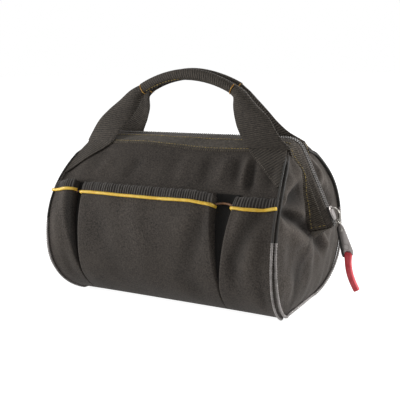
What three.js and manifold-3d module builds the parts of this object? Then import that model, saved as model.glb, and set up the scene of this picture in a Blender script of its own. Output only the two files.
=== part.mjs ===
// A soft-sided zippered tool bag, 330 mm (13 inches) between its end seams.
//
// Millimetres, +Z up. The origin is the middle of the base, on the floor. X runs along the bag and
// +X is the end where the zipper closes. -Y is the front.
//
// The front and back are curved fabric walls with pleated pockets on them. Flat ends close the bag.
// Two stiffened halves of the mouth meet at the zipper, which runs along the ridge and down both
// ends. Each half carries a webbing handle, and swings out about the low ends of the zipper.

import * as THREE from 'three';
import { mergeVertices } from 'three/addons/utils/BufferGeometryUtils.js';
import Module from 'manifold-3d';

const { lerp, smoothstep } = THREE.MathUtils;

// Body: the outer face of the fabric at the end seams, from the middle of the bag
const seamHalfLength = 162;
const baseHalfLength = 146;
const topHalfLength = 147;
const baseHalfDepth = 38;
const bellyHalfDepth = 106;
const bellyHeight = 78;
const shoulderHalfDepth = 80;
const shoulderHeight = 165;
const eaveHalfDepth = 25;
const eaveHeight = 200;
const heelRun = 8;
const heelRise = 16;

// Half-way along the bag the walls stand this much further out than at the seams
const bellyBulge = -1;
const shoulderBulge = 4;
const eaveBulge = 12;
const bulgePower = 4;

// Sheets and gaps
const wallThickness = 2.2;
const flankThickness = 1.6;
const seatGap = 0.35;
const boardThickness = 2.5;

// Pockets
const pocketTop = 155;
const pocketFoot = 8;
const pocketThickness = 1.8;
const pocketRoom = 10.5;
const pocketSideRise = 3;
const bindingHeight = 8;
const bindingThickness = 1.2;
const pipingDiameter = 4;
const pipingDrop = 1.75;
const leftPleat = { top: -112, foot: -104, width: 16, footWidth: 3 };
const rightPleat = { top: 100, foot: 95, width: 22, footWidth: 3 };

// Seam trim
const trimDiameter = 4.5;
const greyTrimTop = 109;
const zipTabShort = 7;

// Zipper: its line lies in the middle plane of the bag
const ridgeHeight = 211;
const zipEndHalfLength = 194;
const zipEndHeight = 108;
const ridgeCornerHalfLength = 149.5;
const cornerLength = 16;
const shelfHalfWidth = 6.5;
const coilGap = 0.8;
const coilWidth = 2.6;
const coilHeight = 4;
const tapeInner = 2.6;
const tapeOuter = 16;
const tapeThickness = 0.9;

// Frame channel: the stitched webbing band between the zipper tape and the panels
const channelInner = 13.5;
const channelThickness = 1.6;
const frameWireDiameter = 3.2;
const beakHalfLength = 169;
const beakHalfDepth = 15;
const beakHeight = 103;
const chinHalfWidth = 6;

// Rigid ends stop here, and the folding flanks go on up to the zipper
const endPanelTop = 88;

// Handles
const webbingWidth = 38;
const webbingThickness = 2.2;
const gripHeight = 288;
const gripEndHeight = 270;
const gripHalfLength = 66;
const gripSpread = 9;
const gripThickness = 9;
const gripWidth = 14;
const handleFootHalfLength = 125;
const strapSeamRise = 9;

// Slider and pull
const sliderFromEnd = 15.5;
const sliderLength = 17;
const sliderWidth = 11;
const plateThickness = 1.6;
const sliderRoom = 2.6;
const archLength = 13;
const archHeight = 4.8;
const archBar = 1.6;
const archWidth = 2.8;
const linkBar = 1.6;
const linkLength = 18.8;
const linkInside = 5;
const tabLength = 30.5;
const tabTopWidth = 6.4;
const tabFootWidth = 12;
const tabThickness = 2;
const tabOffset = 5.6;
const tailLength = 46.5;
const tailWidth = 7.3;
const tailThickness = 4;

const point = (x, y, z) => new THREE.Vector3(x, y, z);
const STEP = 1e-3;

const wasm = await Module();
wasm.setup();

// Solids

// Turns a mesh the right way out: the volume inside its faces has to be positive
function closed(positions, index) {
  let volume = 0;
  const corner = (n) => new THREE.Vector3().fromArray(positions, 3 * index[n]);
  for (let n = 0; n < index.length; n += 3) {
    volume += corner(n).dot(corner(n + 1).cross(corner(n + 2)));
  }
  if (volume < 0) {
    index.reverse();
  }
  const geometry = new THREE.BufferGeometry();
  geometry.setAttribute('position', new THREE.Float32BufferAttribute(positions, 3));
  geometry.setIndex(index);
  return geometry;
}

// A thin solid between two grids of points: face 0 is its outer side and face 1 its inner side
function sheet(across, along, pointAt) {
  const positions = [];
  const index = [];
  const columns = across.length;
  const rows = along.length;
  for (const face of [0, 1]) {
    for (const v of along) {
      for (const u of across) {
        positions.push(...pointAt(u, v, face));
      }
    }
  }
  const at = (i, j, face) => (face * rows + j) * columns + i;
  const quad = (a, b, c, d) => index.push(a, b, c, a, c, d);
  for (let j = 0; j + 1 < rows; j += 1) {
    for (let i = 0; i + 1 < columns; i += 1) {
      quad(at(i, j, 0), at(i + 1, j, 0), at(i + 1, j + 1, 0), at(i, j + 1, 0));
      quad(at(i, j, 1), at(i, j + 1, 1), at(i + 1, j + 1, 1), at(i + 1, j, 1));
    }
    quad(at(0, j, 0), at(0, j + 1, 0), at(0, j + 1, 1), at(0, j, 1));
    quad(at(columns - 1, j, 0), at(columns - 1, j, 1), at(columns - 1, j + 1, 1), at(columns - 1, j + 1, 0));
  }
  for (let i = 0; i + 1 < columns; i += 1) {
    quad(at(i, 0, 0), at(i, 0, 1), at(i + 1, 0, 1), at(i + 1, 0, 0));
    quad(at(i, rows - 1, 0), at(i + 1, rows - 1, 0), at(i + 1, rows - 1, 1), at(i, rows - 1, 1));
  }
  return closed(positions, index);
}

// A solid skinned over convex rings that all have the same number of points
function skin(rings) {
  const count = rings[0].length;
  const positions = rings.flat().flatMap((p) => [...p]);
  const index = [];
  for (let r = 0; r + 1 < rings.length; r += 1) {
    for (let i = 0; i < count; i += 1) {
      const a = r * count + i;
      const b = r * count + ((i + 1) % count);
      index.push(a, b, b + count, a, b + count, a + count);
    }
  }
  const last = (rings.length - 1) * count;
  for (let i = 1; i + 1 < count; i += 1) {
    index.push(0, i + 1, i);
    index.push(last, last + i, last + i + 1);
  }
  return closed(positions, index);
}

// A round cord of a few flat sides along a row of points
function cord(points, diameter, sides = 6) {
  const path = new THREE.CatmullRomCurve3(points, false, 'centripetal');
  const section = new THREE.Shape().absarc(0, 0, diameter / 2, 0, 2 * Math.PI, false);
  return new THREE.ExtrudeGeometry(section, {
    steps: points.length - 1,
    curveSegments: sides,
    extrudePath: path,
  });
}

// An outline drawn in X and Y, made solid and centred on its thickness along Z
function plate(outline, thickness, curveSegments = 6) {
  const solid = new THREE.ExtrudeGeometry(outline, {
    depth: thickness,
    curveSegments,
    bevelEnabled: false,
  });
  return solid.translate(0, 0, -thickness / 2);
}

function toManifold(geometry) {
  const bare = geometry.clone();
  bare.deleteAttribute('normal');
  bare.deleteAttribute('uv');
  const merged = mergeVertices(bare, 1e-4);
  const mesh = new wasm.Mesh({
    numProp: 3,
    vertProperties: new Float32Array(merged.attributes.position.array),
    triVerts: new Uint32Array(merged.index.array),
  });
  return new wasm.Manifold(mesh);
}

function joined(...geometries) {
  const solid = geometries.map(toManifold).reduce((sum, next) => sum.add(next));
  const mesh = solid.getMesh();
  const geometry = new THREE.BufferGeometry();
  geometry.setAttribute('position', new THREE.BufferAttribute(mesh.vertProperties, 3));
  geometry.setIndex(new THREE.BufferAttribute(mesh.triVerts, 1));
  return geometry;
}

function steps(from, to, count) {
  return Array.from({ length: count + 1 }, (_, n) => lerp(from, to, n / count));
}

// Fabric walls. s runs from -1 at the left seam to 1 at the right one. v is 0 where the wall leaves
// the floor, 1 at the belly and 2 at the eave, where the wall meets the frame channel.

function sideProfile(moreBelly, moreShoulder, moreEave) {
  const belly = point(seamHalfLength, bellyHalfDepth + moreBelly, bellyHeight);
  const heel = new THREE.CubicBezierCurve3(
    point(baseHalfLength, baseHalfDepth, 0),
    point(baseHalfLength + heelRun / 2, baseHalfDepth + heelRun, 0),
    point(belly.x, belly.y, heelRise),
    belly,
  );
  const upper = new THREE.CubicBezierCurve3(
    belly,
    point(seamHalfLength, belly.y, lerp(bellyHeight, shoulderHeight, 0.6)),
    point(seamHalfLength, shoulderHalfDepth + moreShoulder, shoulderHeight),
    point(topHalfLength, eaveHalfDepth + moreEave, eaveHeight),
  );
  return (v) => (v < 1 ? heel.getPoint(v) : upper.getPoint(Math.min(v, 2) - 1));
}

const seamProfile = sideProfile(0, 0, 0);
const middleProfile = sideProfile(bellyBulge, shoulderBulge, eaveBulge);

function bareWall(side, s, v) {
  const seam = seamProfile(v);
  const middle = middleProfile(v);
  const share = Math.abs(s) ** bulgePower;
  return point(s * seam.x, side * lerp(middle.y, seam.y, share), lerp(middle.z, seam.z, share));
}

// A point on the wall, moved out from its outer face by lift
function wallPoint(side, s, v, lift) {
  const low = Math.max(v - STEP, 0);
  const high = Math.min(v + STEP, 2);
  const alongX = bareWall(side, s + STEP, v).sub(bareWall(side, s - STEP, v));
  const upward = bareWall(side, s, high).sub(bareWall(side, s, low));
  const normal = alongX.cross(upward).multiplyScalar(-side).normalize();
  return bareWall(side, s, v).addScaledVector(normal, lift);
}

// The v at which the seam is at this height
function heightToV(height) {
  let low = 0;
  let high = 2;
  for (let n = 0; n < 40; n += 1) {
    const middle = (low + high) / 2;
    if (seamProfile(middle).z < height) {
      low = middle;
    } else {
      high = middle;
    }
  }
  return (low + high) / 2;
}

// The s at which the wall is this far along the bag
const lengthToS = (x, v) => x / seamProfile(v).x;

const pocketTopV = heightToV(pocketTop);
const splitV = heightToV(pocketTop + 3);
const pocketFootV = heightToV(pocketFoot);
const endTopV = heightToV(endPanelTop);
const greyTopV = heightToV(greyTrimTop);

// Rows of the lower wall. Whatever lies against it has the same rows.
const wallRows = [0, 0.06, 0.15, 0.3, 0.5, 0.7, 0.85, 1, 1.12, 1.24, 1.36];

// Zipper line and the roof of the mouth

function zipLine() {
  const end = (sign) => point(sign * zipEndHalfLength, 0, zipEndHeight);
  const corner = (sign) => point(sign * ridgeCornerHalfLength, 0, ridgeHeight);
  const down = (sign) => end(sign).sub(corner(sign)).setLength(cornerLength).add(corner(sign));
  const inward = (sign) => point(sign * (ridgeCornerHalfLength - cornerLength), 0, ridgeHeight);
  const path = new THREE.CurvePath();
  path.add(new THREE.LineCurve3(end(-1), down(-1)));
  path.add(new THREE.QuadraticBezierCurve3(down(-1), corner(-1), inward(-1)));
  path.add(new THREE.LineCurve3(inward(-1), inward(1)));
  path.add(new THREE.QuadraticBezierCurve3(inward(1), corner(1), down(1)));
  path.add(new THREE.LineCurve3(down(1), end(1)));
  return path;
}

const zip = zipLine();
const [runLength, bendLength] = zip.curves.map((curve) => curve.getLength());
const zipLength = zip.getLength();
const bendMiddle = runLength + bendLength / 2;

// Places along the zipper, as distances from its left end, closest at the bends
const zipPlaces = [
  ...steps(0, runLength, 6),
  ...steps(runLength, runLength + bendLength, 4).slice(1),
  ...steps(runLength + bendLength, zipLength - runLength - bendLength, 8).slice(1),
  ...steps(zipLength - runLength - bendLength, zipLength - runLength, 4).slice(1),
  ...steps(zipLength - runLength, zipLength, 6).slice(1),
];

// The outer edge of the frame channel: the eave along the ridge, then a straight line down the end
function eaveEdge(side, place) {
  const fromEnd = Math.min(place, zipLength - place);
  const sign = place < zipLength / 2 ? -1 : 1;
  if (fromEnd > bendMiddle) {
    const s = (sign * (zipLength / 2 - fromEnd)) / (zipLength / 2 - bendMiddle);
    return bareWall(side, s, 2);
  }
  const foot = point(sign * beakHalfLength, side * beakHalfDepth, beakHeight);
  return foot.lerp(bareWall(side, sign, 2), fromEnd / bendMiddle);
}

// A point of the roof, q mm from the zipper line: level with it at first, then down to the eave
function bareRoof(side, place, q) {
  const line = zip.getPointAt(place / zipLength);
  const shelf = line.clone().add(point(0, side * shelfHalfWidth, 0));
  if (q <= shelfHalfWidth) {
    return line.lerp(shelf, q / shelfHalfWidth);
  }
  const edge = eaveEdge(side, place);
  return shelf.clone().addScaledVector(edge.sub(shelf).normalize(), q - shelfHalfWidth);
}

function roofWidth(side, place) {
  const shelf = zip.getPointAt(place / zipLength).add(point(0, side * shelfHalfWidth, 0));
  return shelfHalfWidth + shelf.distanceTo(eaveEdge(side, place));
}

function roofPoint(side, place, q, lift) {
  const low = Math.max(place - 1, 0);
  const high = Math.min(place + 1, zipLength);
  const alongZip = bareRoof(side, high, q).sub(bareRoof(side, low, q));
  const outward = bareRoof(side, place, q + STEP).sub(bareRoof(side, place, q - STEP));
  const normal = alongZip.cross(outward).multiplyScalar(side).normalize();
  return bareRoof(side, place, q).addScaledVector(normal, lift);
}

// Main fabric

function wall(side) {
  return sheet(steps(-1, 1, 16), [...wallRows, splitV], (s, v, face) =>
    wallPoint(side, s, v, -face * wallThickness));
}

function upperPanel(side) {
  const foot = splitV + seatGap / 60;
  const top = 2 - seatGap / 60;
  return sheet(steps(-1, 1, 16), steps(foot, top, 4), (s, v, face) =>
    wallPoint(side, s, v, -face * wallThickness));
}

function basePanel() {
  const length = 2 * (baseHalfLength + wallThickness);
  const depth = 2 * (baseHalfDepth - seatGap);
  return new THREE.BoxGeometry(length, depth, wallThickness).translate(0, 0, wallThickness / 2);
}

function baseBoard() {
  const length = 2 * (baseHalfLength - wallThickness - 2 * seatGap);
  const depth = 2 * baseHalfDepth;
  const middle = wallThickness + seatGap + boardThickness / 2;
  return new THREE.BoxGeometry(length, depth, boardThickness).translate(0, 0, middle);
}

// The inner side of the end seam, where the edge of an end panel or flank is sewn
function seamSeat(side, sign, v) {
  const seat = wallPoint(side, sign, v, -wallThickness - seatGap);
  return point(sign * seamProfile(v).x, seat.y, seat.z);
}

// The fabric of the end comes out by this much at the top of the end panel, below the beak
const chinReach = 5;

function endPanel(sign) {
  const across = [0, 0.12, 0.26, 0.38, 0.5, 0.62, 0.74, 0.88, 1];
  return sheet(across, [...wallRows.slice(1, 8), endTopV], (u, v, face) => {
    const p = seamSeat(-1, sign, v).lerp(seamSeat(1, sign, v), u);
    const swell = chinReach * (1 - (2 * u - 1) ** 2) * smoothstep(v, 0, endTopV);
    p.x += sign * (swell - face * wallThickness);
    return p;
  });
}

const chinFoldV = 1.12;
const beakFootV = 1.24;

// The inner edge of a flank: up beside the chin to the foot of the frame channel, then along it
function flankEdge(side, sign, v) {
  const fold = point(sign * (beakHalfLength + 1), side * chinHalfWidth, beakHeight - 5);
  const foot = point(sign * beakHalfLength, side * beakHalfDepth, beakHeight - 1);
  if (v < chinFoldV) {
    const chin = seamProfile(endTopV);
    chin.set(sign * (chin.x + chinReach), side * seatGap, endPanelTop + seatGap);
    return chin.lerp(fold, (v - endTopV) / (chinFoldV - endTopV));
  }
  if (v < beakFootV) {
    return fold.lerp(foot, (v - chinFoldV) / (beakFootV - chinFoldV));
  }
  return foot.lerp(bareWall(side, sign, 2), (v - beakFootV) / (2 - beakFootV));
}

function flankPoint(side, sign, u, v, lift) {
  const seat = seamSeat(side, sign, v);
  const edge = flankEdge(side, sign, v);
  const p = seat.clone().lerp(edge, u);
  p.x = lerp(seat.x, edge.x, u ** 2) + sign * lift;
  p.z += 2 * seatGap * (1 - smoothstep(v, endTopV, chinFoldV));
  return p;
}

// One flank of the end: the fabric that folds between the end seam and the zipper
function flank(side, sign) {
  const rows = [endTopV, chinFoldV, 1.18, beakFootV, 1.36, splitV, 1.64, 1.78, 1.9, 1.97];
  return sheet([0, 0.3, 0.55, 0.75, 0.88, 0.98], rows, (u, v, face) =>
    flankPoint(side, sign, u, v, -seatGap - face * flankThickness));
}

// Pockets

const pocketSpans = {
  left: { from: () => -1, to: (v) => pleatEdge(leftPleat, v, -1), pleats: [false, true] },
  centre: {
    from: (v) => pleatEdge(leftPleat, v, 1),
    to: (v) => pleatEdge(rightPleat, v, -1),
    pleats: [true, true],
  },
  right: { from: (v) => pleatEdge(rightPleat, v, 1), to: () => 1, pleats: [true, false] },
};

// The s of one edge of a pleat, which narrows towards its foot
function pleatEdge(pleat, v, edge) {
  const share = (v - pocketFootV) / (pocketTopV - pocketFootV);
  const middle = lerp(pleat.foot, pleat.top, share);
  const width = lerp(pleat.footWidth, pleat.width, share);
  return lengthToS(middle + (edge * width) / 2, v);
}

// How far the inside of a pocket stands off the wall
function pocketLift(v) {
  const share = (v - pocketFootV) / (pocketTopV - pocketFootV);
  return seatGap + pocketRoom * smoothstep(share, 0, 1) ** 1.4;
}

// Shares across a pocket, with close rows at the sides where it turns back to the wall
function pocketColumns(name) {
  const count = name === 'centre' ? 8 : 3;
  return [0, ...steps(0, 1, count).map((share) => lerp(0.04, 0.96, share)), 1].map(
    (share, n, all) => ({ share, edge: n === 0 || n === all.length - 1 }),
  );
}

function pocketPoint(side, name, column, v, lift) {
  const span = pocketSpans[name];
  const width = seamProfile(v).x;
  const room = pocketSideRise / width;
  const from = span.from(v);
  const to = span.to(v);
  const s = column.edge ? lerp(from, to, column.share) : lerp(from + room, to - room, column.share);
  return wallPoint(side, s, v, column.edge ? seatGap + lift : pocketLift(v) + lift);
}

function pocket(side, name) {
  const rows = [pocketFootV, ...wallRows.slice(3), pocketTopV];
  return sheet(pocketColumns(name), rows, (column, v, face) =>
    pocketPoint(side, name, column, v, (1 - face) * pocketThickness));
}

function binding(side, name) {
  const foot = heightToV(pocketTop - bindingHeight);
  const columns = pocketColumns(name).filter((column) => !column.edge);
  return sheet(columns, steps(foot, pocketTopV, 1), (column, v, face) =>
    pocketPoint(side, name, column, v, pocketThickness + seatGap + (1 - face) * bindingThickness));
}

function piping(side, name) {
  const radius = pipingDiameter / 2;
  const v = heightToV(pocketTop - bindingHeight - pipingDrop);
  const columns = pocketColumns(name).filter((column) => !column.edge);
  const points = columns.map((column) =>
    pocketPoint(side, name, column, v, pocketThickness + seatGap + radius));
  return cord(points, pipingDiameter);
}

// Seam trim: a cord outside the end edges of the walls

function trimPoint(side, sign, v) {
  const seat = wallPoint(side, sign, v, -wallThickness / 2);
  const radius = trimDiameter / 2;
  const bareEdge = seamProfile(Math.max(v, 0.1)).x;
  const edge = v < 1 ? Math.max(bareEdge, baseHalfLength + wallThickness) : bareEdge;
  return point(sign * (edge + radius + seatGap), seat.y, Math.max(seat.z, radius + seatGap));
}

function greyTrim(sign) {
  const down = steps(greyTopV, 0, 8).map((v) => trimPoint(-1, sign, v));
  const up = steps(0, greyTopV, 8).map((v) => trimPoint(1, sign, v));
  const under = [-0.6, 0, 0.6].map((share) => {
    const foot = trimPoint(1, sign, 0);
    return point(foot.x, share * foot.y, foot.z);
  });
  return cord([...down, ...under, ...up], trimDiameter);
}

function blackTrim(side, sign) {
  const foot = greyTopV + 0.02;
  return cord(steps(foot, 1.97, 7).map((v) => trimPoint(side, sign, v)), trimDiameter);
}

// Mouth halves

function coil(side) {
  return sheet([coilGap, coilGap + coilWidth], zipPlaces, (q, place, face) =>
    roofPoint(side, place, q, (0.5 - face) * coilHeight));
}

function tape(side) {
  const inner = coilGap + coilWidth + seatGap;
  return sheet([Math.max(tapeInner, inner), shelfHalfWidth, tapeOuter], zipPlaces, (q, place, face) =>
    roofPoint(side, place, q, -face * tapeThickness));
}

function channel(side) {
  return sheet([0, 1], zipPlaces, (share, place, face) => {
    const q = lerp(channelInner, roofWidth(side, place), share);
    return roofPoint(side, place, q, 1.3 * seatGap + (1 - face) * channelThickness);
  });
}

// The wire lies under the channel, between the edge of the tape and the eave
function frameWire(side) {
  const radius = frameWireDiameter / 2;
  const points = zipPlaces.map((place) => {
    const q = Math.max(lerp(tapeOuter, roofWidth(side, place), 0.45), tapeOuter + radius + seatGap);
    return roofPoint(side, place, q, -radius - seatGap);
  });
  return cord(points, frameWireDiameter);
}

// Handles: webbing that is folded round itself at the grip

const gripPath = new THREE.QuadraticBezierCurve3(
  point(-gripHalfLength, 0, gripEndHeight),
  point(0, 0, 2 * gripHeight - gripEndHeight),
  point(gripHalfLength, 0, gripEndHeight),
);

function grip(side) {
  const rings = steps(0, 1, 12).map((t) => {
    const centre = gripPath.getPoint(t);
    const along = gripPath.getTangent(t);
    const across = point(-along.z, 0, along.x);
    return steps(0, 1, 8).slice(1).map((share) => {
      const angle = 2 * Math.PI * share + Math.PI / 8;
      const p = centre.clone().addScaledVector(across, (Math.sin(angle) * gripWidth) / 2);
      p.y += side * gripSpread + (Math.cos(angle) * gripThickness) / 2;
      return p;
    });
  });
  return skin(rings);
}

// The foot of a strap lies just outside the upper edge of the frame channel
const handleFootHeight = eaveHeight + channelThickness + 3.2 * seatGap;

function handleFootDepth(x) {
  const eave = bareWall(1, x / topHalfLength, 2);
  return eave.y + (webbingThickness + channelThickness) / 2 + seatGap;
}

// One strap: narrow and thick where the webbing is folded at the grip, flat at its foot
function strap(side, sign) {
  const gripEnd = gripPath.getTangent(1);
  const gripTilt = Math.atan2(gripEnd.x, -gripEnd.z);
  const slant = Math.atan2(handleFootHalfLength - gripHalfLength, gripEndHeight - handleFootHeight);
  const footHalfWidth = webbingWidth / Math.cos(slant) / 2;
  const rings = [
    { at: 0, half: gripWidth / 2, tilt: gripTilt, thick: gripThickness },
    { at: 0.15, half: 0.38 * footHalfWidth, tilt: 0.4 * gripTilt, thick: 0.65 * gripThickness },
    { at: 0.33, half: 0.68 * footHalfWidth, tilt: 0.15 * gripTilt, thick: 1.5 * webbingThickness },
    { at: 0.55, half: 0.92 * footHalfWidth, tilt: 0, thick: webbingThickness },
    { at: 1, half: footHalfWidth, tilt: 0, thick: webbingThickness },
  ].map(({ at, half, tilt, thick }) => {
    const x = lerp(gripHalfLength + seatGap, handleFootHalfLength, at);
    const z = lerp(gripEndHeight - seatGap, handleFootHeight, at);
    const corner = (out, face) => {
      const reach = x + out * half * Math.cos(tilt);
      const y = lerp(gripSpread, handleFootDepth(reach), at);
      return point(sign * reach, side * (y + (face * thick) / 2), z + out * half * Math.sin(tilt));
    };
    return [corner(-1, -1), corner(1, -1), corner(1, 1), corner(-1, 1)];
  });
  return skin(rings);
}

// The end of the strap that is sewn flat on the panel, cut off along the end seam
function strapEnd(side, sign) {
  const slant = Math.atan2(handleFootHalfLength - gripHalfLength, gripEndHeight - handleFootHeight);
  const innerEdge = handleFootHalfLength - webbingWidth / Math.cos(slant) / 2;
  const foot = heightToV(pocketTop + strapSeamRise);
  return sheet([0, 0.5, 1], steps(foot, 1.97, 4), (share, v, face) => {
    const climb = (v - foot) / (1.97 - foot);
    const inner = lerp(0.93, innerEdge / topHalfLength, climb);
    return wallPoint(side, sign * lerp(inner, 0.985, share), v, seatGap + (1 - face) * webbingThickness);
  });
}

// Slider and pull. They are drawn lying along X, which runs down the zipper, with Z away from it.

function sliderBody() {
  const outer = new THREE.BoxGeometry(sliderLength, sliderWidth, plateThickness);
  const inner = outer.clone();
  const lift = sliderRoom + plateThickness / 2;
  const post = new THREE.BoxGeometry(0.3 * sliderLength, coilGap, 2 * lift);
  post.translate(-0.34 * sliderLength, 0, 0);
  const top = sliderRoom + plateThickness;
  const arch = new THREE.Shape();
  const half = archLength / 2;
  arch.moveTo(-half, top - 0.3);
  arch.lineTo(-half, top + archHeight / 2);
  arch.quadraticCurveTo(-half, top + archHeight, 0, top + archHeight);
  arch.quadraticCurveTo(half, top + archHeight, half, top + archHeight / 2);
  arch.lineTo(half, top - 0.3);
  arch.lineTo(half - archBar, top - 0.3);
  arch.lineTo(half - archBar, top + archHeight - 2 * archBar);
  arch.lineTo(half - 2 * archBar, top + archHeight - archBar);
  arch.lineTo(-half + 2 * archBar, top + archHeight - archBar);
  arch.lineTo(-half + archBar, top + archHeight - 2 * archBar);
  arch.lineTo(-half + archBar, top - 0.3);
  const bail = plate(arch, archWidth, 4).rotateX(Math.PI / 2);
  return joined(outer.translate(0, 0, lift), inner.translate(0, 0, -lift), post, bail);
}

function roundedOutline(shape, halfLength, halfWidth, radius) {
  shape.moveTo(-halfLength + radius, -halfWidth);
  shape.lineTo(halfLength - radius, -halfWidth);
  shape.quadraticCurveTo(halfLength, -halfWidth, halfLength, -halfWidth + radius);
  shape.lineTo(halfLength, halfWidth - radius);
  shape.quadraticCurveTo(halfLength, halfWidth, halfLength - radius, halfWidth);
  shape.lineTo(-halfLength + radius, halfWidth);
  shape.quadraticCurveTo(-halfLength, halfWidth, -halfLength, halfWidth - radius);
  shape.lineTo(-halfLength, -halfWidth + radius);
  shape.quadraticCurveTo(-halfLength, -halfWidth, -halfLength + radius, -halfWidth);
  return shape;
}

// A flat ring. Its near bar runs through the arch. Its far bar goes on to the front as a rivet
// that carries the tab beside the zipper, so that the tab passes clear of the coil.
function pullLink() {
  const inside = { length: (linkLength - linkBar) / 2, width: linkInside / 2 };
  const outline = roundedOutline(new THREE.Shape(), inside.length + linkBar, inside.width + linkBar, 2);
  outline.holes.push(roundedOutline(new THREE.Path(), inside.length, inside.width, 0.6));
  const ring = plate(outline, linkBar, 3);
  const reach = tabOffset + tabThickness / 2 + seatGap;
  const rivet = new THREE.CylinderGeometry(linkBar / 2, linkBar / 2, reach, 8);
  rivet.translate(linkLength / 2, -reach / 2, 0);
  const head = new THREE.CylinderGeometry(1.3 * linkBar, 1.3 * linkBar, 1.2, 10);
  head.translate(linkLength / 2, -reach - 0.5, 0);
  return joined(ring, rivet, head).translate(linkLength / 2, 0, 0);
}

const tailBar = { length: 3.2, hole: 2.9, wall: 1.5 };

// A tapered plate with a round hole for the link and a slot for the tail
function pullTab() {
  const top = tabTopWidth / 2;
  const foot = tabFootWidth / 2;
  const outline = new THREE.Shape();
  outline.absarc(0, 0, top, Math.PI / 2, 1.5 * Math.PI, false);
  outline.lineTo(tabLength - 2, -foot);
  outline.quadraticCurveTo(tabLength, -foot, tabLength, -foot + 2);
  outline.lineTo(tabLength, foot - 2);
  outline.quadraticCurveTo(tabLength, foot, tabLength - 2, foot);
  outline.closePath();
  outline.holes.push(new THREE.Path().absarc(0, 0, 1.55, 0, 2 * Math.PI, true));
  const slotLength = tailBar.hole + tailBar.wall + 3 * seatGap - tailBar.length / 2;
  const slot = new THREE.Path();
  const slotMiddle = tabLength - tailBar.length - slotLength / 2;
  const halfSlot = tailWidth / 2 + 2.5 * seatGap;
  slot.moveTo(slotMiddle - slotLength / 2, -halfSlot);
  slot.lineTo(slotMiddle - slotLength / 2, halfSlot);
  slot.lineTo(slotMiddle + slotLength / 2, halfSlot);
  slot.lineTo(slotMiddle + slotLength / 2, -halfSlot);
  slot.closePath();
  outline.holes.push(slot);
  return plate(outline, tabThickness, 6).rotateX(Math.PI / 2);
}

// A moulded strip whose eye goes round the bar at the foot of the tab
function pullTail() {
  const eye = tailBar.hole + tailBar.wall;
  const half = tailThickness / 2;
  const outline = new THREE.Shape();
  outline.absarc(0, 0, eye, Math.PI / 4, 1.75 * Math.PI, false);
  outline.lineTo(eye + 3, -half);
  outline.lineTo(tailLength, -half);
  outline.lineTo(tailLength, half);
  outline.lineTo(eye + 3, half);
  outline.closePath();
  outline.holes.push(new THREE.Path().absarc(0, 0, tailBar.hole, 0, 2 * Math.PI, true));
  return plate(outline, tailWidth, 6);
}

// A scrap of webbing folded over the chin, from the end panel up to the end of the zipper
function zipEndTab(sign) {
  const low = point(seamProfile(endTopV).x + chinReach + 2.4, 0, endPanelTop + 1.2);
  const high = point(zipEndHalfLength - zipTabShort, 0, zipEndHeight - zipTabShort);
  return sheet(steps(-chinHalfWidth, chinHalfWidth, 4), [0, 0.5, 1], (y, share, face) => {
    const p = low.clone().lerp(high, share);
    p.x -= (0.2 + 0.9 * share) * Math.abs(y) + face * lerp(1.8, 2.6, share);
    return point(sign * p.x, y, p.z);
  });
}

// Materials

const finish = (color, roughness, metalness = 0) =>
  new THREE.MeshStandardMaterial({ color, roughness, metalness });

const finishes = {
  fabric: finish(0x3f3b37, 0.85),
  webbing: finish(0x38342f, 0.8),
  binding: finish(0x45423f, 0.8),
  yellowPiping: finish(0xf2c23a, 0.6),
  blackTrim: finish(0x2b2927, 0.6),
  greyTrim: finish(0x8a8482, 0.5),
  board: finish(0x222222, 0.6),
  tape: finish(0x2a2726, 0.85),
  coil: finish(0x1d1b1b, 0.45),
  wire: finish(0xa8a8a6, 0.35, 1),
  nickel: finish(0xd0cfcc, 0.25, 1),
  gunmetal: finish(0x8d8988, 0.35, 1),
  tail: finish(0xd9343f, 0.45),
};

const bag = new THREE.Group();

function add(name, geometry, material, group = bag) {
  const mesh = new THREE.Mesh(geometry, finishes[material]);
  mesh.name = name;
  group.add(mesh);
}

add('base_panel', basePanel(), 'fabric');
add('base_board', baseBoard(), 'board');

for (const [half, side] of [['front', -1], ['back', 1]]) {
  add(`${half}_wall`, wall(side), 'fabric');
  add(`${half}_upper_panel`, upperPanel(side), 'fabric');
  for (const name of Object.keys(pocketSpans)) {
    add(`${half}_pocket_${name}`, pocket(side, name), 'fabric');
    add(`${half}_pocket_binding_${name}`, binding(side, name), 'binding');
    add(`${half}_pocket_piping_${name}`, piping(side, name), 'yellowPiping');
  }
  add(`${half}_zip_coil`, coil(side), 'coil');
  add(`${half}_zip_tape`, tape(side), 'tape');
  add(`${half}_frame_channel`, channel(side), 'webbing');
  add(`${half}_frame_wire`, frameWire(side), 'wire');
  add(`${half}_handle_grip`, grip(side), 'webbing');
}

for (const [end, sign] of [['left', -1], ['right', 1]]) {
  add(`${end}_end_panel`, endPanel(sign), 'fabric');
  add(`${end}_grey_trim`, greyTrim(sign), 'greyTrim');
  add(`${end}_zip_end_tab`, zipEndTab(sign), 'webbing');
  for (const [half, side] of [['front', -1], ['back', 1]]) {
    add(`${end}_${half}_flank`, flank(side, sign), 'fabric');
    add(`${end}_${half}_black_trim`, blackTrim(side, sign), 'blackTrim');
    add(`${half}_${end}_strap`, strap(side, sign), 'webbing');
    add(`${half}_${end}_strap_end`, strapEnd(side, sign), 'webbing');
  }
}

// The slider sits a little above the low end of the zipper, square to the line that it runs on
const sliderPlace = zip.getPointAt(1 - sliderFromEnd / zipLength);
const runDirection = zip.getTangentAt(1);
const slider = new THREE.Group();
slider.position.copy(sliderPlace);
slider.rotation.y = Math.atan2(-runDirection.z, runDirection.x);
bag.add(slider);
add('zip_slider', sliderBody(), 'nickel', slider);

const link = new THREE.Group();
link.position.set(3.2, 0, sliderRoom + plateThickness + 1.35);
link.rotation.y = -0.2;
slider.add(link);
add('pull_link', pullLink(), 'nickel', link);

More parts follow.
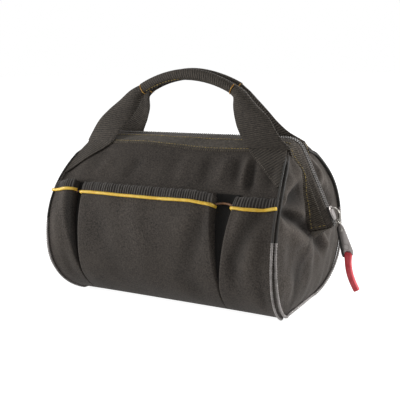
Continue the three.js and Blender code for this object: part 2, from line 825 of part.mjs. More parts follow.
const tab = new THREE.Group();
tab.position.set(linkLength, -tabOffset, 0);
tab.rotation.y = 0.31;
link.add(tab);
add('pull_tab', pullTab(), 'gunmetal', tab);

const tail = new THREE.Group();
tail.position.set(tabLength - tailBar.length / 2, 0, 0);
tail.rotation.y = 0.12;
tab.add(tail);
add('pull_tail', pullTail(), 'tail', tail);

export default bag;
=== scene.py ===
import math

import bpy
import numpy as np
from mathutils import Matrix, Vector


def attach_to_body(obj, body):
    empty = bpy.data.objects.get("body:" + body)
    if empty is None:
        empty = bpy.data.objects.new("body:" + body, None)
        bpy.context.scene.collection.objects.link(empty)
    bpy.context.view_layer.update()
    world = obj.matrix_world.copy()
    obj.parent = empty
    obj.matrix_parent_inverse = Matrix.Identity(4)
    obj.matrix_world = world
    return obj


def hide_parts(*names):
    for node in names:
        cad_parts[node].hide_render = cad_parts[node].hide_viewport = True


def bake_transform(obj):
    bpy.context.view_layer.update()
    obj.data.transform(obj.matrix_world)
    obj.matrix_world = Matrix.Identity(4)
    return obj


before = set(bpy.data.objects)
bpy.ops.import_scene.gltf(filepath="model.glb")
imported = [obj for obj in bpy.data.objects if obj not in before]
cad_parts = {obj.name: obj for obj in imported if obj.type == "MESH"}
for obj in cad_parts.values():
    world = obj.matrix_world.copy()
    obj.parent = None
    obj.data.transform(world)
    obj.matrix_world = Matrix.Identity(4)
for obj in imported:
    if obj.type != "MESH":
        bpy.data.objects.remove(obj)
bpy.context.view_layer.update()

# A soft tool bag of woven polyester. Sizes are in millimetres, in the frame of the CAD model, and
# meshes turn to metres when they are made. Most of the sizes below repeat those of the part's own
# source. The bulge, the pockets' tops, tapes and pleats, and the ends of the straps are the cloth's
# own, and stay within a few millimetres of the CAD model's.

MM = 0.001

# Base and walls at the end seams. Belly, shoulder and eave have a half depth and a height, and
# BULGE says how much further out each of them stands half-way along the bag.
SEAM_HALF_LENGTH = 162
BASE_HALF_LENGTH = 146
TOP_HALF_LENGTH = 147
BASE_HALF_DEPTH = 38
BELLY = (106, 78)
SHOULDER = (80, 165)
EAVE = (25, 200)
HEEL_RUN = 8
HEEL_RISE = 16
BULGE = (-5, 3, 12)
EAVE_WAVE = 2.6
EAVE_WAVE_REACH = 120
WALL = 2.2
SEAT_GAP = 0.35
LAP_HEIGHT = 149
FLANK_FOOT = 78

# Pockets with their bindings, piping and pleats. A pleat has the x of its middle at the top and at
# the foot, its width at the top, the share of its height where it has closed, and its bow.
POCKET_TOP = 152
POCKET_FOOT = 8
POCKET_CLOTH = 1.8
POCKET_ROOM = 10.5
BINDING_HEIGHT = 9.5
PIPING_RADIUS = 2
PIPING_HEIGHT = POCKET_TOP - 9.75
LEFT_PLEAT = {"top": -114.5, "foot": -119, "width": 12, "closes": 0.3, "bow": 2}
RIGHT_PLEAT = {"top": 95.5, "foot": 82, "width": 25, "closes": 0.36, "bow": 2}

# Seam piping: grey up to here and black above
GREY_TOP = 109

# Zipper line as (x, z), distances q across the roof of the mouth, and the chin below the zipper
RIDGE = (149.5, 211)
ZIP_END = (194, 108)
CORNER_LENGTH = 16
SHELF_HALF_WIDTH = 6.5
TAPE_OUTER = 16
BAND_INNER = 13.5
BAND_LIFT = (0.2, 2.05)
BEAK_FOOT = (169, 15, 103)
CHIN_TOP = 88
CHIN_REACH = 5

# Straps and grips
STRAP_END_FOOT = 164
WEBBING = 38
GRIP = {"half_length": 66, "end": 270, "top": 288, "spread": 9, "width": 14, "thick": 9}
STRAP_FOOT = (125, 202.72)

HALVES = (("front", -1), ("back", 1))
ENDS = (("left", -1), ("right", 1))
POCKETS = ("left", "centre", "right")


def rise(x, low, high):
    share = np.clip((np.asarray(x, float) - low) / (high - low), 0, 1)
    return share * share * (3 - 2 * share)


def mix(a, b, share):
    return a + (b - a) * share


def length_of(vectors):
    return np.linalg.norm(vectors, axis=-1, keepdims=True)


def unit(vectors):
    return vectors / np.maximum(length_of(vectors), 1e-9)


def bezier(share, *points):
    t = np.asarray(share, float)[..., None]
    u = 1 - t
    p = [np.asarray(point, float) for point in points]
    if len(p) == 3:
        return u * u * p[0] + 2 * u * t * p[1] + t * t * p[2]
    return u**3 * p[0] + 3 * u * u * t * p[1] + 3 * u * t * t * p[2] + t**3 * p[3]


def xyz(x, y, z):
    """Points from three coordinates, each a number or an array."""
    return np.stack(np.broadcast_arrays(x, y, z), -1).astype(float)


def spread(a, b):
    """Two numbers or arrays as arrays of one shape."""
    return np.broadcast_arrays(np.asarray(a, float), np.asarray(b, float))


def grid(across, upward):
    """Two arrays of coordinates, from (first, last, count) for each."""
    return np.meshgrid(np.linspace(*across), np.linspace(*upward))


def places_along(line):
    """The distance of each point of a line from its first point, along the line."""
    return np.concatenate([[0], np.cumsum(np.linalg.norm(np.diff(line, axis=0), axis=1))])


def turns(count):
    """Angles spread evenly round a circle."""
    return 2 * np.pi * np.arange(count) / count


def squared_off(wave, power):
    """A sine or cosine with its round tops made flatter, for a section with flat faces."""
    return np.sign(wave) * np.abs(wave) ** power


# Fabric walls. s runs from -1 at the left seam to 1 at the right one. v is 0 where the wall leaves
# the floor, 1 at the belly and 2 at the eave, where it meets the stitched band.


def side_profile(v, more=(0, 0, 0)):
    v = np.clip(np.asarray(v, float), 0, 2)
    depth = BELLY[0] + more[0]
    belly = (SEAM_HALF_LENGTH, depth, BELLY[1])
    heel = bezier(
        np.minimum(v, 1),
        (BASE_HALF_LENGTH, BASE_HALF_DEPTH, 0),
        (BASE_HALF_LENGTH + HEEL_RUN / 2, BASE_HALF_DEPTH + HEEL_RUN, 0),
        (SEAM_HALF_LENGTH, depth, HEEL_RISE),
        belly,
    )
    upper = bezier(
        np.maximum(v - 1, 0),
        belly,
        (SEAM_HALF_LENGTH, depth, mix(BELLY[1], SHOULDER[1], 0.6)),
        (SEAM_HALF_LENGTH, SHOULDER[0] + more[1], SHOULDER[1]),
        (TOP_HALF_LENGTH, EAVE[0] + more[2], EAVE[1]),
    )
    return np.where((v < 1)[..., None], heel, upper)


def eave_wave(x):
    wave = -EAVE_WAVE * np.sin(np.pi * x / EAVE_WAVE_REACH)
    return np.where(np.abs(x) < EAVE_WAVE_REACH, wave, 0.0)


def bare_wall(side, s, v):
    s, v = spread(s, v)
    seam = side_profile(v)
    middle = side_profile(v, BULGE)
    share = np.abs(s) ** 4
    x = s * seam[..., 0]
    z = mix(middle[..., 2], seam[..., 2], share) + eave_wave(x) * rise(v, 1.5, 2)
    return np.stack([x, side * mix(middle[..., 1], seam[..., 1], share), z], -1)


PROBE = 1e-3


def wall_normal(side, s, v):
    s, v = spread(s, v)
    along = bare_wall(side, s + PROBE, v) - bare_wall(side, s - PROBE, v)
    upward = bare_wall(side, s, np.minimum(v + PROBE, 2)) - bare_wall(side, s, np.maximum(v - PROBE, 0))
    return unit(np.cross(along, upward)) * -side


def wall_at(side, s, v, lift):
    return bare_wall(side, s, v) + wall_normal(side, s, v) * np.asarray(lift, float)[..., None]


V_TABLE = np.linspace(0, 2, 4001)
SEAM_TABLE = side_profile(V_TABLE)


def height_to_v(height):
    return float(np.interp(height, SEAM_TABLE[:, 2], V_TABLE))


def seam_reach(v):
    return np.interp(v, V_TABLE, SEAM_TABLE[:, 0])


POCKET_TOP_V = height_to_v(POCKET_TOP)
POCKET_FOOT_V = height_to_v(POCKET_FOOT)
CHIN_V = height_to_v(CHIN_TOP)
GREY_TOP_V = height_to_v(GREY_TOP)
LAP_V = height_to_v(LAP_HEIGHT)
FLANK_FOOT_V = height_to_v(FLANK_FOOT)


# Folds and creases. Each is a line on the cloth with a width and a height, drawn in two
# coordinates of the cloth: x and z on the walls and pockets, y and z on the ends.


def near_line(a, b, line):
    """The distance to a line, and the place on it that is nearest, from 0 to 1."""
    nearest = np.full(np.shape(a), 1e9)
    where = np.zeros(np.shape(a))
    points = np.asarray(line, float)
    steps = np.linalg.norm(np.diff(points, axis=0), axis=1)
    total = steps.sum()
    before = 0.0
    for start, end, step in zip(points[:-1], points[1:], steps):
        run = end - start
        along = np.clip(((a - start[0]) * run[0] + (b - start[1]) * run[1]) / step**2, 0, 1)
        gap = np.hypot(a - mix(start[0], end[0], along), b - mix(start[1], end[1], along))
        closer = gap < nearest
        nearest = np.where(closer, gap, nearest)
        where = np.where(closer, (before + along * step) / total, where)
        before += step
    return nearest, where


def creases(a, b, lines):
    """The height of a set of folds. Each fades out at both of its ends."""
    height = np.zeros(np.shape(a))
    for size, width, *line in lines:
        gap, where = near_line(a, b, line)
        fade = np.sqrt(np.clip(4 * where * (1 - where) + 0.12, 0, 1))
        height += size * np.exp(-((gap / width) ** 2)) * fade
    return height


def ripple(a, b, size, seed, shortest, longest, count=7):
    """Low uneven waves that cross in all directions."""
    random = np.random.default_rng(seed)
    height = np.zeros(np.broadcast(a, b).shape)
    for _ in range(count):
        wavelength = random.uniform(shortest, longest)
        turn, start = random.uniform(0, 2 * np.pi, 2)
        height += np.sin(2 * np.pi * (a * np.cos(turn) + b * np.sin(turn)) / wavelength + start)
    return size * height / math.sqrt(count)


# Zipper line, roof of the mouth and stitched band


def zip_table():
    end, corner = np.array(ZIP_END, float), np.array(RIDGE, float)
    down = corner + (end - corner) / np.linalg.norm(end - corner) * CORNER_LENGTH
    inward = corner - (CORNER_LENGTH, 0)
    bend = bezier(np.linspace(0, 1, 60), down, corner, inward)
    right = np.vstack([end[None], bend, (0, corner[1])])
    line = np.vstack([right * (-1, 1), right[::-1][1:]])
    place = places_along(line)
    run = np.linalg.norm(end - down)
    bend_length = np.linalg.norm(np.diff(bend, axis=0), axis=1).sum()
    return place, line, run, bend_length


ZIP_PLACE, ZIP_POINTS, RUN_LENGTH, BEND_LENGTH = zip_table()
ZIP_LENGTH = ZIP_PLACE[-1]
BEND_MIDDLE = RUN_LENGTH + BEND_LENGTH / 2


def zip_at(place):
    x = np.interp(place, ZIP_PLACE, ZIP_POINTS[:, 0])
    z = np.interp(place, ZIP_PLACE, ZIP_POINTS[:, 1])
    return xyz(x, 0, z)


def eave_edge(side, place):
    from_end = np.clip(np.minimum(place, ZIP_LENGTH - place), 0, None)
    sign = np.where(place < ZIP_LENGTH / 2, -1.0, 1.0)
    s = sign * (ZIP_LENGTH / 2 - from_end) / (ZIP_LENGTH / 2 - BEND_MIDDLE)
    ridge = bare_wall(side, np.clip(s, -1, 1), 2.0)
    foot = xyz(sign * BEAK_FOOT[0], side * BEAK_FOOT[1], BEAK_FOOT[2])
    run = mix(foot, bare_wall(side, sign, 2.0), (from_end / BEND_MIDDLE)[..., None])
    return np.where((from_end > BEND_MIDDLE)[..., None], ridge, run)


def bare_roof(side, place, q):
    place, q = spread(place, q)
    line = zip_at(place)
    shelf = line + (0, side * SHELF_HALF_WIDTH, 0)
    level = line + xyz(0, side * q, 0)
    sloping = shelf + unit(eave_edge(side, place) - shelf) * (q - SHELF_HALF_WIDTH)[..., None]
    return np.where((q <= SHELF_HALF_WIDTH)[..., None], level, sloping)


def roof_width(side, place):
    shelf = zip_at(place) + (0, side * SHELF_HALF_WIDTH, 0)
    return SHELF_HALF_WIDTH + length_of(eave_edge(side, place) - shelf)[..., 0]


def roof_normal(side, place, q):
    place, q = spread(place, q)
    ahead = bare_roof(side, np.minimum(place + 1.5, ZIP_LENGTH), q)
    behind = bare_roof(side, np.maximum(place - 1.5, 0), q)
    outward = bare_roof(side, place, q + 0.01) - bare_roof(side, place, q - 0.01)
    return unit(np.cross(ahead - behind, outward)) * side


def roof_at(side, place, q, lift):
    return bare_roof(side, place, q) + roof_normal(side, place, q) * np.asarray(lift, float)[..., None]


# Ends. u runs from 0 at the end seam to 1 at the middle of the end, or at the band above the chin.
# The cloth folds at FOLD_V, under the zipper's end, and the foot of the band stands at FOOT_V.

FOLD_V, FOOT_V = 1.12, 1.24


def end_seat(side, sign, v):
    seat = wall_at(side, sign, v, -WALL - SEAT_GAP)
    seat[..., 0] = sign * seam_reach(v)
    return seat


def end_edge(side, sign, v):
    seat = end_seat(side, sign, v)
    edge = xyz(sign * (seam_reach(v) + CHIN_REACH * rise(v, 0, CHIN_V)), 0, seat[..., 2])
    chin = np.array([sign * (seam_reach(CHIN_V) + CHIN_REACH), 0, CHIN_TOP + 0.5])
    fold = np.array([sign * (BEAK_FOOT[0] + 1), side * 6, BEAK_FOOT[2] - 5])
    foot = np.array([sign * BEAK_FOOT[0], side * BEAK_FOOT[1], BEAK_FOOT[2] - 1])
    corner = bare_wall(side, sign, 2)
    runs = ((CHIN_V, FOLD_V, chin, fold), (FOLD_V, FOOT_V, fold, foot), (FOOT_V, 2, foot, corner))
    for low, high, start, end in runs:
        share = np.clip((v - low) / (high - low), 0, 1)[..., None]
        edge = np.where((v < low)[..., None], edge, mix(start, end, share))
    return edge


END_FOLDS = {
    1: [
        (6.0, 9.6, (-20, 180), (-38, 168), (-58, 158), (-80, 147)),
        (-4.6, 7.2, (-46, 178), (-64, 169), (-80, 158)),
        (-9.0, 12.8, (-26, 154), (-46, 146), (-64, 139)),
        (7.0, 7.4, (-62, 141), (-46, 134), (-28, 122)),
        (-8.0, 7.0, (-80, 140), (-58, 129), (-36, 117), (-14, 103)),
        (6.5, 11.2, (-94, 132), (-66, 115), (-40, 97), (-10, 74)),
        (-6.0, 7.4, (2, 97), (16, 82), (34, 65)),
        (5.4, 6.7, (22, 92), (34, 79), (48, 66)),
        (-3.0, 17.6, (-62, 70), (-22, 46)),
        (2.4, 16.0, (-84, 60), (-58, 34)),
        (6.0, 11.2, (26, 172), (40, 156), (62, 140)),
        (-6.0, 12.8, (34, 142), (54, 126), (72, 112)),
        (5.0, 9.6, (30, 122), (52, 108)),
        (4.0, 12.8, (84, 108), (60, 92), (40, 84)),
    ],
    -1: [
        (5.4, 11.2, (-22, 172), (-40, 158), (-64, 144)),
        (-6.4, 12.8, (-34, 142), (-54, 126), (-74, 114)),
        (5.0, 9.6, (-34, 122), (-18, 106)),
        (5.0, 12.8, (-86, 112), (-60, 96), (-32, 78)),
        (-4.4, 8.0, (2, 95), (-16, 72)),
        (5.4, 11.2, (24, 174), (36, 156), (56, 142)),
        (-6.0, 12.8, (36, 140), (56, 122), (72, 110)),
        (4.6, 9.6, (30, 120), (18, 106)),
        (4.8, 12.8, (88, 112), (62, 98), (40, 80)),
        (-3.0, 19.2, (50, 66), (14, 46)),
    ],
}

# Beside the upper part of the band the cloth of the flank bulges and lies over its edge: by how
# much, at which v and over what width
OVERLAPS = ((7.5, 1.74, 0.15), (2.5, 1.5, 0.13))


def overlap(v):
    return sum(size * np.exp(-(((v - middle) / width) ** 2)) for size, middle, width in OVERLAPS)


def end_at(side, sign, u, v, lift):
    u, v = spread(u, v)
    seat, edge = end_seat(side, sign, v), end_edge(side, sign, v)
    points = mix(seat, edge, u[..., None])
    bow = mix(1 - (1 - u) ** 2, u**2, rise(v, CHIN_V - 0.1, 1.35))
    y, z = points[..., 1], points[..., 2]
    still = rise(u, 0.0, 0.12) * (1 - 0.85 * rise(u, 0.84, 1.0) * rise(v, CHIN_V, FOOT_V))
    fold = creases(y, z, END_FOLDS[sign]) + ripple(y, z, 0.8, 5 + sign, 26, 60)
    points[..., 0] = mix(seat[..., 0], edge[..., 0], bow) + sign * (fold * still + lift)
    from_end = np.clip((v - FOOT_V) / (2 - FOOT_V), 0, 1) * BEND_MIDDLE
    place = from_end if sign < 0 else ZIP_LENGTH - from_end
    width = roof_width(side, place)
    inward = unit(bare_roof(side, place, width - 6) - bare_roof(side, place, width))
    outward = roof_normal(side, place, width - 1)
    over = overlap(v)
    bulge = over * (0.62 * rise(u, 0.45, 0.86) * (1 - rise(u, 0.88, 1.0)) + 0.34 * rise(u, 0.9, 1.0))
    return points + inward * (over * rise(u, 0.4, 1.0))[..., None] + outward * bulge[..., None]


# Pockets. c runs from 0 at the left edge of a pocket to 1 at its right edge.


def pleat_edge(pleat, v, edge):
    share = (v - POCKET_FOOT_V) / (POCKET_TOP_V - POCKET_FOOT_V)
    middle = mix(pleat["foot"], pleat["top"], share) + pleat["bow"] * np.sin(np.pi * np.clip(share, 0, 1))
    width = np.maximum(0.8, pleat["width"] * (share - pleat["closes"]) / (1 - pleat["closes"]))
    return (middle + edge * width / 2) / seam_reach(v)


BESIDE = {"left": (None, LEFT_PLEAT), "centre": (LEFT_PLEAT, RIGHT_PLEAT), "right": (RIGHT_PLEAT, None)}


def pocket_span(name, v):
    """The s of a pocket's two edges: a pleat, or the end seam where it has none."""
    before, after = BESIDE[name]
    left = -1 + 0 * v if before is None else pleat_edge(before, v, 1)
    right = 1 + 0 * v if after is None else pleat_edge(after, v, -1)
    return left, right


def pocket_lift(v):
    share = np.clip((v - POCKET_FOOT_V) / (POCKET_TOP_V - POCKET_FOOT_V), 0, 1)
    return SEAT_GAP + POCKET_ROOM * rise(share, 0, 1) ** 1.4


POCKET_FOLDS = {
    "left": [(1.6, 8, (-150, 120), (-142, 70)), (-1.6, 9, (-134, 70), (-128, 36))],
    "centre": [
        (-3.6, 12, (88, 140), (66, 104), (50, 66)),
        (2.4, 12, (62, 142), (40, 104)),
        (-2.0, 15, (-84, 130), (-66, 80), (-50, 40)),
        (1.8, 14, (-26, 138), (-10, 80)),
        (-1.6, 11, (30, 60), (70, 38)),
    ],
    "right": [
        (-4.6, 9, (143, 138), (128, 112), (115, 84), (113, 56)),
        (2.4, 8, (122, 142), (114, 116)),
        (2.4, 9, (144, 112), (134, 70)),
        (-2.0, 8, (151, 64), (147, 22)),
    ],
}
# The left pocket turns back to its pleat along this line of (x, z)
TURNED_BACK = ((-108, 20), (-117, 50), (-126, 90), (-134, 125), (-139, 152))


def turned_back(name, x, z, edge):
    if name != "left":
        return 0 * x
    places, heights = zip(*TURNED_BACK)
    line = np.interp(z, heights, places)
    return np.clip((x - line) / np.maximum(edge - line, 4), 0, 1)


# How far the top of each pocket hangs below its level, along its length
DROOP = {
    "left": ((0, 0.0), (0.5, -0.6), (1, -3.4)),
    "centre": ((0, 1.6), (0.1, 0.6), (0.85, 0.4), (1, 3.2)),
    "right": ((0, 5.0), (0.35, 4.6), (0.75, 2.0), (1, -0.8)),
}


def droop(name, c):
    places, drops = zip(*DROOP[name])
    return np.interp(c, places, drops)


# How far the piping hangs between its ends
PIPING_SAG = {"left": 0.0, "centre": 0.6, "right": 1.6}


def sagging(name, c):
    return PIPING_SAG[name] * np.sin(np.pi * np.asarray(c)) ** 1.5


# How far from an end seam the cloth of a pocket reaches its full depth
SEAM_SLOPE = 34


def pocket_at(side, name, c, v, lift):
    c, v = spread(c, v)
    left, right = pocket_span(name, v)
    s = mix(left, right, c)
    reach = seam_reach(v)
    from_left = (s - left) * reach
    from_right = (right - s) * reach
    # Round a pleat the cloth turns in tightly, but it leaves an end seam at a low slope
    fold_width = np.clip(0.8 * pocket_lift(v), 1.0, 4.5)
    turn = 1.0
    for gap, sewn in ((from_left, name == "left"), (from_right, name == "right")):
        inset = np.clip(gap / (SEAM_SLOPE if sewn else fold_width), 0, 1)
        turn = turn * (rise(inset, 0, 1) if sewn else (1 - (1 - inset) ** 2) ** 0.5)
    x = s * reach
    z = np.interp(v, V_TABLE, SEAM_TABLE[:, 2])
    loose = rise(np.minimum(from_left, from_right), 2, 16) * rise(v, POCKET_FOOT_V, 0.8)
    fold = (creases(x, z, POCKET_FOLDS[name]) + ripple(x, z, 0.6, 11 + side, 40, 90)) * loose
    back = turned_back(name, x, z, right * reach)
    points = wall_at(side, s, v, mix(SEAT_GAP, pocket_lift(v) * (1 - 0.6 * back), turn) + fold + lift)
    points[..., 2] -= droop(name, c) * rise(v, 1.0, POCKET_TOP_V)
    return points


# Meshes. An edge is drawn sharp from this angle on, in degrees: on sheets, on their gathers, and
# on cords and cast pieces.

SHEET_ANGLE, GATHER_ANGLE, CORD_ANGLE = 50, 80, 60


def put(name, data):
    """A new object in the scene."""
    piece = bpy.data.objects.new(name, data)
    bpy.context.scene.collection.objects.link(piece)
    return piece


def make_object(name, points, faces, material, corner_uv, sharp):
    points = np.asarray(points, float).reshape(-1, 3)
    volume = 0.0
    for face in faces:
        a = points[face[0]]
        for b, c in zip(face[1:-1], face[2:]):
            volume += a @ np.cross(points[b], points[c])
    if volume < 0:
        faces = [tuple(reversed(face)) for face in faces]
        corner_uv = [list(reversed(corners)) for corners in corner_uv]
    mesh = bpy.data.meshes.new(name)
    mesh.from_pydata((points * MM).tolist(), [], faces)
    uv = np.asarray([xy for corners in corner_uv for xy in corners], float)
    mesh.uv_layers.new(name="Cloth").data.foreach_set("uv", uv.ravel() * MM)
    mesh.shade_smooth()
    mesh.set_sharp_from_angle(angle=math.radians(sharp))
    mesh.materials.append(material)
    return put(name, mesh)


def quads(rows, columns, first=0):
    row, column = np.mgrid[0 : rows - 1, 0 : columns - 1]
    a = first + row * columns + column
    return np.stack([a, a + 1, a + 1 + columns, a + columns], -1).reshape(-1, 4)


def cloth_size(points):
    """The coordinates of a grid of points on the cloth laid flat."""
    rows, columns = points.shape[:2]
    across, upward = places_along(points[rows // 2]), places_along(points[:, columns // 2])
    return np.stack(np.meshgrid(across, upward), -1)


def make_sheet(name, outer, inner, material, flat=None, sharp=SHEET_ANGLE, marks=None):
    """A thin closed piece between two grids of points: its outer face and its inner face."""
    rows, columns = outer.shape[:2]
    count = rows * columns
    points = np.concatenate([outer.reshape(-1, 3), inner.reshape(-1, 3)])
    flat = (cloth_size(outer) if flat is None else flat).reshape(-1, 2)
    flat = np.concatenate([flat, flat])
    right = [r * columns + columns - 1 for r in range(1, rows)]
    left = [r * columns for r in range(rows - 2, 0, -1)]
    loop = [*range(columns), *right, *range(count - 2, count - columns - 1, -1), *left]
    rim = [(b, a, a + count, b + count) for a, b in zip(loop, loop[1:] + loop[:1])]
    outside, inside = quads(rows, columns).tolist(), quads(rows, columns, count)[:, ::-1].tolist()
    faces = [*map(tuple, outside), *map(tuple, inside), *rim]
    piece = make_object(name, points, faces, material, [[flat[i] for i in face] for face in faces], sharp)
    for label, values in (marks or {}).items():
        values = np.concatenate([values.ravel(), values.ravel()]).astype(np.float32)
        piece.data.attributes.new(label, "FLOAT", "POINT").data.foreach_set("value", values)
    return piece


def make_sweep(name, path, section, up, material):
    """A closed piece along a path. section has, for each point of the path, a ring of offsets."""
    path = np.asarray(path, float)
    section = np.broadcast_to(np.asarray(section, float), (len(path), *np.shape(section)[-2:]))
    tangent = unit(np.gradient(path, axis=0))
    sideways = unit(np.cross(tangent, np.broadcast_to(up, path.shape)))
    upward = np.cross(sideways, tangent)
    rings = path[:, None] + section[..., :1] * sideways[:, None] + section[..., 1:] * upward[:, None]
    return make_rings(name, rings, material)


def make_rings(name, rings, material):
    rows, columns = rings.shape[:2]
    points = np.concatenate([rings.reshape(-1, 3), rings[0].mean(0)[None], rings[-1].mean(0)[None]])
    along = places_along(rings.mean(1))
    middle = rings[rows // 2]
    around = places_along(np.concatenate([middle, middle[:1]]))
    faces, corners = [], []
    for r in range(rows - 1):
        for c in range(columns):
            d = (c + 1) % columns
            faces.append((r * columns + c, r * columns + d, (r + 1) * columns + d, (r + 1) * columns + c))
            u0, u1 = around[c], around[c + 1]
            corners.append([(u0, along[r]), (u1, along[r]), (u1, along[r + 1]), (u0, along[r + 1])])
    last = (rows - 1) * columns
    for c in range(columns):
        d = (c + 1) % columns
        faces.append((rows * columns, d, c))
        faces.append((rows * columns + 1, last + c, last + d))
        corners.append([(0, 0), (around[c + 1], 0), (around[c], 0)])
        corners.append([(0, along[-1]), (around[c], along[-1]), (around[c + 1], along[-1])])
    return make_object(name, points, faces, material, corners, CORD_ANGLE)


def ring(width, height, power, count):
    angle = turns(count)
    across, tall = squared_off(np.cos(angle), power), squared_off(np.sin(angle), power)
    return np.stack([across * width / 2, tall * height / 2], -1)


def round_sections(radius):
    """Round rings with a radius for each point of a path."""
    return ring(2, 2, 1.0, 12)[None] * radius[:, None, None]


# Rows of small parts: a tree that sets stitches, teeth or ribs along lines. Each line is a chain
# of edges whose points carry "out", the direction that points away from the surface.


def row_tree():
    tree = bpy.data.node_groups.new("row_of_small_parts", "GeometryNodeTree")
    sizes = ("Spacing", "Length", "Width", "Height", "Unevenness")
    kinds = {"Lines": "Geometry", **dict.fromkeys(sizes, "Float"), "Seed": "Int", "Finish": "Material"}
    for label, kind in kinds.items():
        tree.interface.new_socket(label, in_out="INPUT", socket_type="NodeSocket" + kind)
    tree.interface.new_socket("Parts", in_out="OUTPUT", socket_type="NodeSocketGeometry")
    given = add(tree, "NodeGroupInput")
    curve = add(tree, "GeometryNodeMeshToCurve", {"Mesh": (given, "Lines")})
    spacing = {"Curve": (curve, "Curve"), "Length": (given, "Spacing")}
    spaced = add(tree, "GeometryNodeResampleCurve", spacing, mode="LENGTH")
    along = add(tree, "GeometryNodeInputTangent")
    out = add(tree, "GeometryNodeInputNamedAttribute", {"Name": "out"}, data_type="FLOAT_VECTOR")
    axes = {0: (along, "Tangent"), 1: (out, "Attribute")}
    turned = add(tree, "FunctionNodeAxesToRotation", axes, primary_axis="X", secondary_axis="Z")
    bead = add(tree, "GeometryNodeMeshUVSphere", {"Segments": 8, "Rings": 5, "Radius": 0.5})
    smooth = add(tree, "GeometryNodeSetShadeSmooth", {"Geometry": (bead, "Mesh")})
    sides = {"X": (given, "Length"), "Y": (given, "Width"), "Z": (given, "Height")}
    size = add(tree, "ShaderNodeCombineXYZ", sides)
    least = calc(tree, "SUBTRACT", 1.0, (given, "Unevenness"))
    most = calc(tree, "ADD", 1.0, (given, "Unevenness"))
    limits = {2: least, 3: most, "Seed": (given, "Seed")}
    chance = add(tree, "FunctionNodeRandomValue", limits, data_type="FLOAT")
    scaled = add(tree, "ShaderNodeVectorMath", {0: (size, "Vector"), "Scale": (chance, 1)}, operation="SCALE")
    setting = {"Points": (spaced, "Curve"), "Instance": (smooth, "Geometry")}
    setting.update({"Rotation": (turned, "Rotation"), "Scale": (scaled, "Vector")})
    placed = add(tree, "GeometryNodeInstanceOnPoints", setting)
    whole = add(tree, "GeometryNodeRealizeInstances", {"Geometry": (placed, "Instances")})
    finish = {"Geometry": (whole, "Geometry"), "Material": (given, "Finish")}
    finished = add(tree, "GeometryNodeSetMaterial", finish)
    add(tree, "NodeGroupOutput", {"Parts": (finished, "Geometry")})
    return tree


def make_row(name, lines, spacing, size, material, unevenness, seed):
    """One mesh of small parts of that size (length, width, height) along every line."""
    points = np.concatenate([line for line, _ in lines]) * MM
    outs = np.concatenate([out for _, out in lines]).astype(np.float32)
    edges, first = [], 0
    for line, _ in lines:
        edges += [(first + n, first + n + 1) for n in range(len(line) - 1)]
        first += len(line)
    mesh = bpy.data.meshes.new(name + "_lines")
    mesh.from_pydata(points.tolist(), edges, [])
    mesh.attributes.new("out", "FLOAT_VECTOR", "POINT").data.foreach_set("vector", outs.ravel())
    guide = put(name + "_lines", mesh)
    modifier = guide.modifiers.new("Row", "NODES")
    modifier.node_group = ROW_TREE
    values = dict(zip(("Spacing", "Length", "Width", "Height"), (part * MM for part in (spacing, *size))))
    values.update({"Unevenness": unevenness, "Seed": seed, "Finish": material})
    for item in ROW_TREE.interface.items_tree:
        if item.in_out == "INPUT" and item.name in values:
            modifier[item.identifier] = values[item.name]
    seen = guide.evaluated_get(bpy.context.evaluated_depsgraph_get())
    made = bpy.data.meshes.new_from_object(seen)
    made.name = name
    bpy.data.objects.remove(guide)
    return put(name, made)


# Materials. In a node tree a value is a number, a colour, or a node with the name or number of its
# output.


def add(tree, kind, inputs=None, **settings):
    made = tree.nodes.new(kind)
    for key, value in settings.items():
        setattr(made, key, value)
    for key, value in (inputs or {}).items():
        if isinstance(value, tuple) and isinstance(value[0], bpy.types.Node):
            tree.links.new(value[0].outputs[value[1]], made.inputs[key])
        else:
            made.inputs[key].default_value = value
    return made


def calc(tree, operation, *values):
    return add(tree, "ShaderNodeMath", dict(enumerate(values)), operation=operation), 0


def colour(hex_value):
    """An sRGB hex value as a linear colour."""
    parts = [int(hex_value[n : n + 2], 16) / 255 for n in (0, 2, 4)]
    return (*[c / 12.92 if c <= 0.04045 else ((c + 0.055) / 1.055) ** 2.4 for c in parts], 1.0)


def noise(tree, size_mm, detail=2.0, roughness=0.5):
    place = add(tree, "ShaderNodeTexCoord")
    values = {"Scale": 1000 / size_mm, "Detail": detail, "Roughness": roughness}
    return add(tree, "ShaderNodeTexNoise", {"Vector": (place, "Object"), **values}), "Fac"


def between(tree, share, dark, light):
    return add(tree, "ShaderNodeMix", {0: share, 6: dark, 7: light}, data_type="RGBA"), 2


def remap(tree, value, low, high, to_low=0.0, to_high=1.0):
    limits = {"From Min": low, "From Max": high, "To Min": to_low, "To Max": to_high}
    return add(tree, "ShaderNodeMapRange", {"Value": value, **limits}), 0


def wave_of(tree, value, pitch_mm):
    """A sine of a coordinate, from -1 to 1, once for each pitch."""
    return calc(tree, "SINE", calc(tree, "MULTIPLY", value, 2 * math.pi * 1000 / pitch_mm))


def mark(tree, name):
    """A value that the mesh carries at its points."""
    return add(tree, "ShaderNodeAttribute", attribute_name=name), "Fac"


def bare_material(name):
    material = bpy.data.materials.new(name)
    material.use_nodes = True
    material.node_tree.nodes.clear()
    return material, material.node_tree


def finish_material(material, look, height, relief, strength, values):
    """Joins a colour, a bump with its depth in millimetres, and the shader's other values."""
    tree = material.node_tree
    bump = add(tree, "ShaderNodeBump", {"Height": height, "Distance": relief * MM, "Strength": strength})
    shader = add(tree, "ShaderNodeBsdfPrincipled", {"Base Color": look, "Normal": (bump, "Normal"), **values})
    add(tree, "ShaderNodeOutputMaterial", {"Surface": (shader, "BSDF")})
    return material


